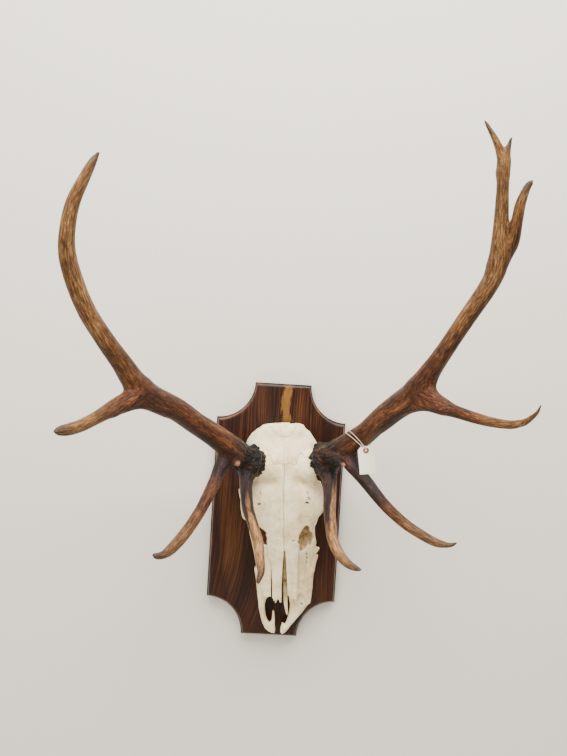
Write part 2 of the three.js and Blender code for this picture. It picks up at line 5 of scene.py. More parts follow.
import bmesh
import bpy
import numpy as np
from mathutils import Matrix, Vector
from mathutils.geometry import tessellate_polygon


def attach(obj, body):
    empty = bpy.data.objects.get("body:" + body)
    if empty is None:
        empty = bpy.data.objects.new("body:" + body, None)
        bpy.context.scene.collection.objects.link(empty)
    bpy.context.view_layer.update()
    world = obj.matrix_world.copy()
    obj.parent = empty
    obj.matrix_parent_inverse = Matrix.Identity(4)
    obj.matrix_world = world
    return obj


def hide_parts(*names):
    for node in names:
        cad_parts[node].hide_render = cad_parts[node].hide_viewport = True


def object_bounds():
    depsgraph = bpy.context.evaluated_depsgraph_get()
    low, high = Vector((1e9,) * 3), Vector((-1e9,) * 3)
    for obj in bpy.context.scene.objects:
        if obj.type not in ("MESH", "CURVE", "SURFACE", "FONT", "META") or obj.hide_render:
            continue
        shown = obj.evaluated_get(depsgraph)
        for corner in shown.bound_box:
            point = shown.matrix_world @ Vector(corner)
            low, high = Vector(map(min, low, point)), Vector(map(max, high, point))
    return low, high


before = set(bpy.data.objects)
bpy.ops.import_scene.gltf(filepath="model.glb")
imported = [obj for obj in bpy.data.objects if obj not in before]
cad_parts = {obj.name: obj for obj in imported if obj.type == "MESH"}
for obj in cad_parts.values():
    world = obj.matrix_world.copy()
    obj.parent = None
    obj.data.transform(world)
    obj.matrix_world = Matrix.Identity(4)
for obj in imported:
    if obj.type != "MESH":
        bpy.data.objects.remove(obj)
cadBox = [list(corner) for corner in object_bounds()]
started = time.time()


def report(stage):
    # a line for each stage, with the seconds since the start
    print(f"{time.time() - started:6.1f} s  {stage}")


camera = {
    "place": (-0.0339, -1.4200, 0.3155),
    "right": (0.9979, -0.0219, 0.0609),
    "up": (-0.0604, 0.0212, 0.9979),
    "lens": 30.95,
    "sensor": 36.0,
}


def addCamera():
    # a camera that looks along minus the cross product of its right and up
    right = Vector(camera["right"]).normalized()
    back = right.cross(Vector(camera["up"])).normalized()
    up = back.cross(right)
    turn = Matrix((right, up, back)).transposed()
    data = bpy.data.cameras.new("camera")
    data.lens = camera["lens"]
    data.sensor_width = camera["sensor"]
    data.clip_start = 0.01
    seen = bpy.data.objects.new("camera", data)
    seen.matrix_world = Matrix.Translation(camera["place"]) @ turn.to_4x4()
    bpy.context.scene.collection.objects.link(seen)
    bpy.context.scene.camera = seen


addCamera()


mm = 0.001
skullPose = {"noseX": 32.0, "noseZ": -257.0, "plaqueFront": -19.0, "lean": math.radians(3.5)}


def toRow(points):
    # from the skull's own frame, x across, out above the plaque and z up the skull in mm, to the
    # row's frame in metres: a turn by the lean, then the shift to the nose's place
    c, s = math.cos(skullPose["lean"]), math.sin(skullPose["lean"])
    x, out, z = np.asarray(points, float).T
    return np.stack([
        skullPose["noseX"] + x * c - z * s,
        skullPose["plaqueFront"] - out,
        skullPose["noseZ"] + x * s + z * c,
    ], axis=-1) * mm


def addMesh(name, points, faces, smooth=True):
    # points in metres and faces as rows of three or four corners
    mesh = bpy.data.meshes.new(name)
    points, faces = np.asarray(points, np.float32), np.asarray(faces, np.int32)
    mesh.vertices.add(len(points))
    mesh.vertices.foreach_set("co", points.ravel())
    mesh.loops.add(faces.size)
    mesh.loops.foreach_set("vertex_index", faces.ravel())
    mesh.polygons.add(len(faces))
    mesh.polygons.foreach_set("loop_start", np.arange(0, faces.size, faces.shape[1], dtype=np.int32))
    mesh.update(calc_edges=True)
    mesh.polygons.foreach_set("use_smooth", np.full(len(faces), smooth))
    piece = bpy.data.objects.new(name, mesh)
    bpy.context.scene.collection.objects.link(piece)
    return piece


def addMask(piece, name, values):
    # a number or a vector for each point, for the materials to read by name
    values = np.asarray(values, np.float32)
    kind = "FLOAT_VECTOR" if values.ndim == 2 else "FLOAT"
    layer = piece.data.attributes.new(name, kind, "POINT")
    layer.data.foreach_set("vector" if values.ndim == 2 else "value", values.ravel())


def normalsOf(points, faces):
    # each corner's normal is the sum of its faces' area vectors, brought to length one
    p = points[faces]
    area = np.cross(p[:, 2] - p[:, 0], p[:, -1] - p[:, 1])
    normals = np.zeros_like(points)
    for corner in range(faces.shape[1]):
        for axis in range(3):
            normals[:, axis] += np.bincount(faces[:, corner], area[:, axis], len(points))
    return normals / np.maximum(np.linalg.norm(normals, axis=1, keepdims=True), 1e-9)


def finishPiece(piece, nodes, material):
    # one material, the body, the slot and the solids that the piece stands for
    piece.data.materials.append(material)
    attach(piece, "root")
    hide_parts(*nodes)


# whole numbers that scatter a lattice point's coordinates over 32 bits
mixers = {"across": (374761393, 668265263, 2147483647), "seed": 974634777, "turns": (1274126177, 2246822519)}


def hashed(ix, iy, iz, seed):
    # whole-number mixing of a lattice point to a fraction from 0 to 1
    h = np.uint32(seed * mixers["seed"] % 2 ** 32)
    for value, factor in zip((ix, iy, iz), mixers["across"]):
        h = h + value.astype(np.uint32) * np.uint32(factor)
    for shift, factor in zip((13, 16), mixers["turns"]):
        h = (h ^ (h >> np.uint32(shift))) * np.uint32(factor)
    return ((h ^ (h >> np.uint32(15))) & np.uint32(0xFFFFFF)).astype(np.float64) / 0xFFFFFF


def noise(points, seed):
    # random values at whole-number lattice points, blended between them by the smooth step of
    # each coordinate; runs from -1 to 1
    low = np.floor(points).astype(np.int64)
    t = points - low
    t = t * t * (3 - 2 * t)
    total = 0
    for dx, dy, dz in product((0, 1), repeat=3):
        weight = np.abs(1 - dx - t[:, 0]) * np.abs(1 - dy - t[:, 1]) * np.abs(1 - dz - t[:, 2])
        total = total + weight * hashed(low[:, 0] + dx, low[:, 1] + dy, low[:, 2] + dz, seed)
    return total * 2 - 1


def roughness(points, octaves, seed):
    # noise added to itself at twice the pitch and half the height, octave by octave
    total, height = 0, 1
    for octave in range(octaves):
        total = total + height * noise(points * 2 ** octave, seed + octave)
        height *= 0.5
    return total / (2 - 2 * height)


def knobs(points, seed):
    # distance to the nearest of the points scattered one to each lattice cell
    low = np.floor(points).astype(np.int64)
    nearest = np.full(len(points), 9.0)
    for step in product((-1, 0, 1), repeat=3):
        cell = (low + step).T
        spot = np.stack([hashed(*cell, seed + k) for k in range(3)], axis=-1) + cell.T
        nearest = np.minimum(nearest, ((spot - points) ** 2).sum(axis=1))
    return np.sqrt(nearest)


def ramp(value, low, high):
    # smooth step from 0 at low to 1 at high
    t = np.clip((value - low) / (high - low), 0, 1)
    return t * t * (3 - 2 * t)


def gridOf(counts):
    # every whole-number place of a grid, the last coordinate running fastest
    return np.stack(np.meshgrid(*[np.arange(n) for n in counts], indexing="ij"), axis=-1).reshape(-1, 3)


def surfaceOf(field, low, high, cell, block=4):
    # The zero level of a distance field, inside below zero. The field is read on a coarse grid
    # first, and finely only in the blocks that the surface can cross. Each grid cell that it
    # crosses gets one corner at the mean of the crossings on its edges, and each crossed edge
    # gets one face between the four cells around it.
    low = np.asarray(low, float)
    blocks = np.ceil((np.asarray(high, float) - low) / (cell * block)).astype(int)
    size = blocks * block
    middle = gridOf(blocks)
    coarse = field(low + (middle * block + (block - 1) / 2) * cell)
    values = np.empty((blocks[0], block, blocks[1], block, blocks[2], block), np.float32)
    values[:] = coarse.reshape(blocks)[:, None, :, None, :, None]
    close = middle[np.abs(coarse) < cell * block * 1.05]
    at = (close[:, None, :] * block + gridOf([block] * 3)[None]).reshape(-1, 3)
    values = values.reshape(size)
    values[at[:, 0], at[:, 1], at[:, 2]] = field(low + at * cell)

    inside = values < 0
    count = np.zeros(size - 1, np.uint8)
    steps = list(product((0, 1), repeat=3))
    for dx, dy, dz in steps:
        count += inside[dx:size[0] - 1 + dx, dy:size[1] - 1 + dy, dz:size[2] - 1 + dz]
    crossed = np.argwhere((count > 0) & (count < 8))
    number = np.full(size - 1, -1, np.int32)
    number[tuple(crossed.T)] = np.arange(len(crossed))
    corner = np.stack([values[tuple((crossed + step).T)] for step in steps], axis=-1).astype(float)
    total, weight = np.zeros((len(crossed), 3)), np.zeros(len(crossed))
    for a, stepA in enumerate(steps):
        for b, stepB in enumerate(steps):
            edge = np.subtract(stepB, stepA)
            if edge.sum() == 1 and np.abs(edge).sum() == 1:
                cut = (corner[:, a] < 0) != (corner[:, b] < 0)
                share = corner[cut, a] / (corner[cut, a] - corner[cut, b])
                total[cut] += np.asarray(stepA) + share[:, None] * edge
                weight[cut] += 1
    points = low + (crossed + total / weight[:, None]) * cell

    faces = []
    for axis, (u, v) in enumerate(((1, 2), (2, 0), (0, 1))):
        first, second = [slice(None)] * 3, [slice(None)] * 3
        first[axis], second[axis] = slice(0, -1), slice(1, None)
        edges = np.argwhere(inside[tuple(first)] != inside[tuple(second)])
        for k in (u, v):
            edges = edges[(edges[:, k] > 0) & (edges[:, k] < size[k] - 1)]
        stepU, stepV = np.eye(3, dtype=int)[u], np.eye(3, dtype=int)[v]
        ring = [edges - stepU - stepV, edges - stepV, edges, edges - stepU]
        quad = np.stack([number[tuple(spot.T)] for spot in ring], axis=-1)
        turned = ~inside[tuple(edges.T)]
        quad[turned] = quad[turned][:, ::-1]
        faces.append(quad)
    return points, np.concatenate(faces)


def soften(a, b, k):
    # the lesser of two distances, with a fillet of about k where they meet
    h = np.maximum(k - np.abs(a - b), 0) / k
    return np.minimum(a, b) - h * h * k / 4


def carve(a, b, k):
    # a with b taken away, with an edge of about k
    return -soften(-a, b, k)


def threadLine(stations, step=4.0):
    # a smooth line through stations of [x, out, z, radius]: each span is the cubic that passes its
    # two ends in the direction of their neighbours. It is cut again at equal steps of length, and
    # carries a frame across it that turns no more than it has to.
    s = np.asarray(stations, float)
    ends = np.vstack([2 * s[0] - s[1], s, 2 * s[-1] - s[-2]])
    t = np.linspace(0, 1, 12, endpoint=False)[:, None]
    spans = []
    for a, b, c, d in zip(ends, ends[1:], ends[2:], ends[3:]):
        spans.append(0.5 * (2 * b + (c - a) * t + (2 * a - 5 * b + 4 * c - d) * t ** 2
                            + (3 * b - a - 3 * c + d) * t ** 3))
    fine = np.vstack(spans + [s[-1:]])
    length = np.concatenate([[0], np.cumsum(np.linalg.norm(np.diff(fine[:, :3], axis=0), axis=1))])
    count = max(int(round(length[-1] / step)), 3)
    along = np.linspace(0, length[-1], count + 1)
    line = np.stack([np.interp(along, length, fine[:, k]) for k in range(4)], axis=-1)
    ahead = np.gradient(line[:, :3], axis=0)
    ahead /= np.linalg.norm(ahead, axis=1, keepdims=True)
    across = [np.array([0.31, 1.0, 0.17])]
    for direction in ahead:
        side = across[-1] - direction * (across[-1] @ direction)
        across.append(side / np.linalg.norm(side))
    across = np.array(across[1:])
    return {"at": line[:, :3], "radius": line[:, 3], "along": along, "across": across,
            "beside": np.cross(ahead, across), "ahead": ahead}


def nearestOn(line, points):
    # for each point the station and the fraction past it of the nearest place on a thick line,
    # and the distance to the line's skin
    a, r = line["at"], line["radius"]
    span = np.diff(a, axis=0)
    spanSq = (span ** 2).sum(axis=1)
    best = np.empty(len(points))
    place = np.empty(len(points))
    for start in range(0, len(points), 32768):
        p = points[start:start + 32768]
        sq = (p ** 2).sum(axis=1)[:, None] + (a ** 2).sum(axis=1)[None] - 2 * p @ a.T
        k = (np.sqrt(np.maximum(sq, 0)) - r[None]).argmin(axis=1)
        near, where = np.full(len(p), 1e9), np.zeros(len(p))
        for i in (np.clip(k - 1, 0, len(span) - 1), np.clip(k, 0, len(span) - 1)):
            t = np.clip(((p - a[i]) * span[i]).sum(axis=1) / spanSq[i], 0, 1)
            gap = np.linalg.norm(p - a[i] - t[:, None] * span[i], axis=1) - (r[i] + t * (r[i + 1] - r[i]))
            closer = gap < near
            near[closer], where[closer] = gap[closer], (i + t)[closer]
        best[start:start + 32768], place[start:start + 32768] = near, where
    return best, place


def read(line, name, place):
    # a line's value between its stations
    i = np.minimum(place.astype(int), len(line["along"]) - 2)
    t = place - i
    value = line[name]
    if value.ndim == 2:
        t = t[:, None]
    return value[i] * (1 - t) + value[i + 1] * t


class Nodes:
    # short calls for adding and joining the nodes of one tree
    def __init__(self, tree):
        self.tree = tree

    def add(self, kind, links=None, **values):
        node = self.tree.nodes.new(kind)
        for key, value in values.items():
            setattr(node, key, value)
        for socket, value in (links or {}).items():
            self.join(value, node.inputs[socket])
        return node

    def join(self, value, socket):
        if isinstance(value, bpy.types.NodeSocket):
            self.tree.links.new(value, socket)
        else:
            socket.default_value = value

    def math(self, operation, a, b=0.0, clamp=False):
        return self.add("ShaderNodeMath", {0: a, 1: b}, operation=operation, use_clamp=clamp).outputs[0]

    def plus(self, a, b, clamp=False):
        return self.math("ADD", a, b, clamp)

    def minus(self, a, b, clamp=False):
        return self.math("SUBTRACT", a, b, clamp)

    def times(self, a, b, clamp=False):
        return self.math("MULTIPLY", a, b, clamp)

    def sway(self, value, amount):
        # a value from 0 to 1 made to run both ways about nought
        return self.times(self.minus(value, 0.5), amount)

    def tone(self, start, swings):
        # a starting value, swung up and down by each of several noises
        for value, amount in swings:
            start = self.plus(start, self.sway(value, amount))
        return start

    def mix(self, share, a, b):
        return self.add("ShaderNodeMix", {0: share, 6: a, 7: b}, data_type="RGBA").outputs[2]

    def layer(self, colour, mask, strength, over):
        # a colour laid over another as far as the mask times the strength
        return self.mix(self.times(mask, strength), colour, over)

    def mixed(self, share, a, b):
        return self.add("ShaderNodeMix", {0: share, 2: a, 3: b}, data_type="FLOAT").outputs[0]

    def ramp(self, value, stops):
        node = self.add("ShaderNodeValToRGB", {0: value})
        node.color_ramp.interpolation = "EASE"
        elements = node.color_ramp.elements
        while len(elements) < len(stops):
            elements.new(0.5)
        for element, (place, colour) in zip(elements, stops):
            element.position = place
            element.color = (*colour, 1)
        return node.outputs[0]

    def mask(self, name):
        return self.add("ShaderNodeAttribute", attribute_name=name).outputs["Fac"]

    def vector(self, name):
        return self.add("ShaderNodeAttribute", attribute_name=name).outputs["Vector"]

    def object(self):
        return self.add("ShaderNodeTexCoord").outputs["Object"]

    def noise(self, where, scale, detail=3.0, rough=0.55):
        return self.add("ShaderNodeTexNoise", {"Vector": where, "Scale": scale, "Detail": detail,
                                               "Roughness": rough}).outputs["Fac"]

    def relief(self, height, strength, distance):
        links = {"Height": height, "Strength": strength, "Distance": distance}
        return self.add("ShaderNodeBump", links).outputs[0]

    def combine(self, x, y, z):
        return self.add("ShaderNodeCombineXYZ", {0: x, 1: y, 2: z}).outputs[0]

    def split(self, value):
        return self.add("ShaderNodeSeparateXYZ", {0: value}).outputs

    def group(self, group, **links):
        return self.add("ShaderNodeGroup", links, node_tree=group)


def newMaterial(name, **fixed):
    # a material with its Principled shader, whose sockets are named with lines for spaces
    material = bpy.data.materials.new(name)
    material.use_nodes = True
    shader = material.node_tree.nodes["Principled BSDF"]
    for label, value in fixed.items():
        shader.inputs[label.replace("_", " ")].default_value = value
    return material, Nodes(material.node_tree), shader


def cover(n, shader, colour, roughness, grain):
    # the colour, the roughness and the fine grain's normal joined to the shader
    n.join(colour, shader.inputs["Base Color"])
    n.join(roughness, shader.inputs["Roughness"])
    n.join(grain.outputs["Normal"], shader.inputs["Normal"])


def fineGrainGroup():
    # a fine noise, and the normal of a larger relief with the noise laid over it
    tree = bpy.data.node_groups.new("fine grain", "ShaderNodeTree")
    tree.interface.new_socket("Place", in_out="INPUT", socket_type="NodeSocketVector")
    for label, value in (("Scale", 800.0), ("Relief", 0.0), ("Share", 1.0), ("Strength", 0.3), ("Distance", 0.0005)):
        tree.interface.new_socket(label, in_out="INPUT", socket_type="NodeSocketFloat").default_value = value
    tree.interface.new_socket("Grain", in_out="OUTPUT", socket_type="NodeSocketFloat")
    tree.interface.new_socket("Normal", in_out="OUTPUT", socket_type="NodeSocketVector")
    n = Nodes(tree)
    given, out = n.add("NodeGroupInput").outputs, n.add("NodeGroupOutput").inputs
    grain = n.noise(given["Place"], given["Scale"], 3.0, 0.62)
    height = n.plus(given["Relief"], n.times(grain, given["Share"]))
    n.join(grain, out["Grain"])
    n.join(n.relief(height, given["Strength"], given["Distance"]), out["Normal"])
    return tree


fineGrain = fineGrainGroup()
report("camera and helpers")


# stations along the middle of each beam and tine, [x, out, z, radius], from the burr outwards
antlers = {
    "left": {
        "beam": [
            [-60, 125.5, 382, 26], [-72, 133, 386.5, 26], [-88, 145, 399, 25], [-108, 167, 420, 23.3],
            [-133, 191, 443, 21.4], [-162, 220, 467, 20.2], [-194, 256, 496, 20.3], [-228, 297, 519, 20.8],
            [-248, 329, 541, 19.8], [-266, 359, 577, 16.4], [-286, 383, 613, 14.5], [-308, 402, 655, 14],
            [-322, 417, 697, 13.8], [-330, 427, 738, 13.1], [-327, 435, 775, 11.4], [-317, 440, 813, 10.2],
            [-300, 442, 847, 8.3], [-288, 442, 870, 5.9], [-280, 441, 883, 2.2],
        ],
        "brow": [
            [-72, 138, 378, 15], [-75, 163, 348, 12.5], [-74, 183, 332, 11.4], [-70, 207, 309, 10.7],
            [-63, 229, 293, 9.8], [-56, 249, 277, 9.4], [-50, 267, 260, 9.2], [-47, 287, 240, 8.1],
            [-45, 303, 224, 6.6], [-49, 315, 212, 4.2], [-50, 320, 209, 1.7],
        ],
        "bez": [
            [-107, 163, 412, 16], [-122, 184, 383, 13.1], [-129, 203, 364, 11.8], [-142, 229, 337, 10.6],
            [-153, 251, 316, 10.2], [-167, 275, 296, 10], [-180, 293, 280, 10.1], [-196, 312, 265, 9.2],
            [-207, 324, 259, 6.8], [-216, 331, 259, 5.6], [-220, 335, 262, 3.3],
        ],
        "trez": [
            [-240, 323, 536, 16], [-260, 351, 517, 14.5], [-269, 367, 512, 12.7], [-281, 387, 503, 11.5],
            [-295, 411, 493, 10.1], [-309, 433, 485, 9.6], [-321, 451, 481, 9.2], [-330, 463, 480, 7.6],
            [-334.9, 471, 480, 3.0],
        ],
        "nub": [[-98, 155, 402, 9], [-93, 171, 391, 6], [-90, 179, 387, 3.8]],
        "webs": [
            [[-276, 378, 503, 9], [-270, 366, 506, 9], [-256, 346, 511, 9], [-241, 325, 511, 9.5],
             [-225, 300, 506, 9.5], [-208, 275, 496, 9]],
        ],
        "nodes": ["left_antler_beam", "left_brow_tine", "left_bez_tine", "left_trez_tine"],
        "box": ([-362, 92, 185], [-20, 492, 896]),
    },
    "right": {
        "beam": [
            [72, 127, 384.5, 26], [84, 137.5, 393, 26], [97, 151, 403, 24.5], [121, 173, 423, 22.5],
            [148, 199, 447, 20.5], [175, 232, 481, 20.1], [196, 259, 503, 20.7], [216, 287, 524, 20.7],
            [229, 313, 548, 18.9], [239, 331, 569, 16], [254, 352, 598, 14.1], [281, 381, 649, 13.7],
            [304, 399, 689, 14], [315, 406, 713, 14.2], [318, 412, 735, 13.4], [318, 421, 769, 11.3],
            [318, 426, 794, 10.5], [317, 434, 828, 9.4], [316, 439, 853, 8.6], [314, 442, 871, 7.4],
            [310, 444, 884, 5.8], [302, 448, 902, 5], [289, 450, 923.5, 2.8], [284.2, 451, 930.4, 1.4],
        ],
        "brow": [
            [80, 138, 379, 17], [84, 163, 351, 13.8], [83, 187, 327, 12.1], [80, 211, 306, 11.3],
            [80, 235, 284, 10.4], [81, 251, 268, 9.8], [86, 265, 253, 9.6], [96, 279, 238, 9],
            [107, 288, 229, 7.3], [118, 295, 225, 5.1], [125, 300, 224, 2.1],
        ],
        "bez": [
            [113, 162, 414, 18], [125, 183, 387, 15], [135, 197, 374, 13.2], [149, 215, 357, 11.9],
            [170, 243, 330, 10.5], [188, 265, 312, 9.9], [207, 287, 297, 9.2], [230, 306, 284, 8.4],
            [248, 319, 276, 7.5], [262, 328, 274, 5.3], [272, 333, 275, 3.5], [279, 336, 279, 1.6],
        ],
        "trez": [
            [220, 300, 532, 17], [244, 329, 512, 14], [261, 350, 503, 10.8], [278, 377, 496, 9.5],
            [303, 411, 488, 8.2], [327, 439, 485, 6.8], [338, 453, 488, 5.8], [345, 461, 492, 4.8],
            [355, 473, 505, 2.7], [358, 479, 516, 1.3],
        ],
        "fork": [
            [319, 405, 725, 12], [329, 415, 743, 11], [336, 426, 760, 9.6], [336, 444, 790, 8.2],
            [337, 452, 809, 7.6], [343, 458, 830, 5.7], [348, 460, 838, 4.2], [350, 461, 841, 1.8],
        ],
        "crown": [
            [315, 439, 860, 7], [319, 442, 874, 5.9], [319, 446, 885, 4.4], [322, 452, 903, 2],
            [323, 454, 906, 1.1],
        ],
        "spur": [
            [80, 152, 401, 13], [90, 171, 396.5, 10], [98, 185, 393, 7], [104, 196, 390, 4.6],
            [107.5, 203, 388.3, 2.8],
        ],
        # webs that fill the forks, and a keel drawn from the lower beam into the trez tine
        "webs": [
            [[172, 231, 463, 9], [181, 243, 472, 9.5], [196, 262, 488, 9.5], [210, 284, 500, 9.5],
             [226, 305, 506, 9.5], [241, 324, 507, 9], [254, 342, 505, 9]],
            [[240, 328, 567, 6], [238, 322, 552, 8], [237, 327, 534, 8.5], [244, 334, 519, 7.5], [256, 346, 508, 5]],
        ],
        "keel": [
            [138, 200, 422, 2.8], [145.5, 212.5, 433, 3.4], [158, 232.5, 455, 3.5], [172, 252.5, 476.4, 3.5],
            [187.4, 272, 491, 3.5], [206, 291, 500.5, 3.5], [222, 313, 504, 3.4], [239, 337, 503, 3],
            [256, 358, 499, 2.2],
        ],
        "nodes": ["right_antler_beam", "right_brow_tine", "right_bez_tine", "right_trez_tine",
                  "right_fork_tine", "right_crown_tine"],
        "box": ([32, 92, 205], [378, 496, 944]),
    },
}

antlerSkin = {
    "cell": 1.55,
    "fillet": 4.0,          # how softly a tine grows out of the beam
    "burrAt": 11.0,         # the ruff's middle, along the beam from its foot
    "burrHeight": 7.8,
    "burrWidth": 6.5,
    "foot": (32, 86),       # along the beam, where its rough foot fades out
    "polish": (20, 165),    # from a tip, where its smooth end fades out
    "rubbed": (25, 150),    # from a tip, where its pale end fades out
    # how far the dark foot runs up the brow and bez, and the way that the pale side of the brow faces
    "darkTo": {"left": (92, 105), "right": (84, 170)},
    "paleSide": {"left": (0.15, 0.98, 0.1), "right": (0.62, 0.78, 0.1)},
    "grooveStretch": 0.12,  # grooves run about eight times as far along as across
    "grooveWide": 8.5,
    "grooveNarrow": 5.0,
    "pearlPitch": 5.0,
    "ruffPitch": (6.6, 6.6, 0.95),
    "furrowPitch": (6.0, 6.0, 2.0),
}

# colours from groove to ridge, each with its place on the ramp
antlerInk = {
    "lower": [(0.30, (0.0065, 0.0020, 0.0011)), (0.44, (0.028, 0.0074, 0.0027)), (0.57, (0.082, 0.0245, 0.0072)),
              (0.76, (0.23, 0.085, 0.024))],
    "upper": [(0.30, (0.016, 0.0064, 0.0020)), (0.44, (0.062, 0.026, 0.0074)), (0.57, (0.145, 0.068, 0.0195)),
              (0.76, (0.36, 0.21, 0.078))],
    "rubbed": [(0.30, (0.028, 0.0100, 0.0028)), (0.44, (0.092, 0.038, 0.0105)), (0.58, (0.195, 0.094, 0.028)),
               (0.76, (0.40, 0.235, 0.095))],
    "dark": [(0.36, (0.0030, 0.0014, 0.0017)), (0.54, (0.0105, 0.0042, 0.0043)), (0.68, (0.040, 0.0140, 0.0105)),
             (0.84, (0.17, 0.075, 0.042))],
    "burr": [(0.34, (0.0014, 0.0009, 0.0007)), (0.56, (0.0052, 0.0033, 0.0025)), (0.80, (0.048, 0.032, 0.024))],
    "knob": [(0.35, (0.17, 0.058, 0.030)), (0.70, (0.34, 0.155, 0.090))],
    "polished": [(0.34, (0.060, 0.0225, 0.0070)), (0.50, (0.185, 0.080, 0.0265)), (0.68, (0.44, 0.245, 0.105))],
    "tip": [(0.36, (0.020, 0.0110, 0.0058)), (0.56, (0.072, 0.040, 0.0190)), (0.78, (0.22, 0.14, 0.075))],
    # painted highlight: the golden line along the keel's ridge
    "keel": (0.31, 0.125, 0.032, 1),
    # painted shade for the undersides and the band below the keel
    "underShade": (0.0100, 0.0036, 0.0020, 1),
    "pit": (0.003, 0.002, 0.0018, 1),
}


def antlerField(branches, fills):
    # the least of the branches' distances, melted together: minus k times the log of the sum of
    # exp(-distance / k), so that a fork has a web of its own
    k = antlerSkin["fillet"]

    def share(gap):
        return np.exp(-np.clip(gap, -60, 60) / k)

    def field(points):
        total = 0
        for line in fills:
            total = total + share(nearestOn(line, points)[0])
        for name, line in branches.items():
            gap, place = nearestOn(line, points)
            if name == "beam":
                along = read(line, "along", place)
                swell = np.exp(-((along - antlerSkin["burrAt"]) / antlerSkin["burrWidth"]) ** 2)
                gap = gap - antlerSkin["burrHeight"] * swell
            total = total + share(gap)
        return -k * np.log(np.maximum(total, 1e-12))
    return field


def antlerSurface(side):
    # the field's surface, and for each of its points the share of each branch, exp(-distance / 3) over
    # the sum of them all, with its place along and across that branch
    setup = antlers[side]
    branches = {name: threadLine(value) for name, value in setup.items()
                if name not in ("webs", "keel", "nodes", "box")}
    fills = [threadLine(value) for value in setup["webs"]]
    if "keel" in setup:
        fills.append(threadLine(setup["keel"]))
    points, faces = surfaceOf(antlerField(branches, fills), *setup["box"], antlerSkin["cell"])
    # how far from the keel's line, and how far below it on the lower side, where a band is painted as shade
    keelGap, belowKeel = np.full(len(points), 99.0), np.zeros(len(points))
    if "keel" in setup:
        keelGap, place = nearestOn(fills[-1], points)
        ahead, offset = read(fills[-1], "ahead", place), points - read(fills[-1], "at", place)
        below = (offset[:, 0] * ahead[:, 2] - offset[:, 2] * ahead[:, 0]) / np.hypot(ahead[:, 0], ahead[:, 2])
        belowKeel = ramp(below, 0.5, 5) * (1 - ramp(keelGap, 22, 34))

    weights, where, along, leftOver = [], [], [], []
    for number, line in enumerate(branches.values()):
        gap, place = nearestOn(line, points)
        s = read(line, "along", place)
        offset = points - read(line, "at", place)
        a, b = ((offset * read(line, name, place)).sum(axis=1) for name in ("across", "beside"))
        weights.append(np.exp(-np.clip(gap, -40, 60) / 3.0))
        where.append(np.stack([a, b, s * antlerSkin["grooveStretch"] + 37.0 * number], axis=-1))
        along.append(s)
        leftOver.append(line["along"][-1] - s)
    weights, where, along, leftOver = (np.array(rows) for rows in (weights, where, along, leftOver))
    weights /= weights.sum(axis=0)
    tine, picked = weights[1:].argmax(axis=0) + 1, np.arange(len(points))
    share = dict(zip(branches, weights))
    return points, faces, {
        "beamGrain": where[0], "beamAlong": along[0], "beamShare": along[0] / branches["beam"]["along"][-1],
        "tineGrain": where[tine, picked], "tineAlong": along[tine, picked], "tineLeft": leftOver[tine, picked],
        "tipGap": (weights * leftOver).sum(axis=0), "keelGap": keelGap, "belowKeel": belowKeel,
        "isBeam": share["beam"], "isBrow": share["brow"], "isBez": share["bez"],
        "isKnob": share["nub" if side == "left" else "spur"],
    }


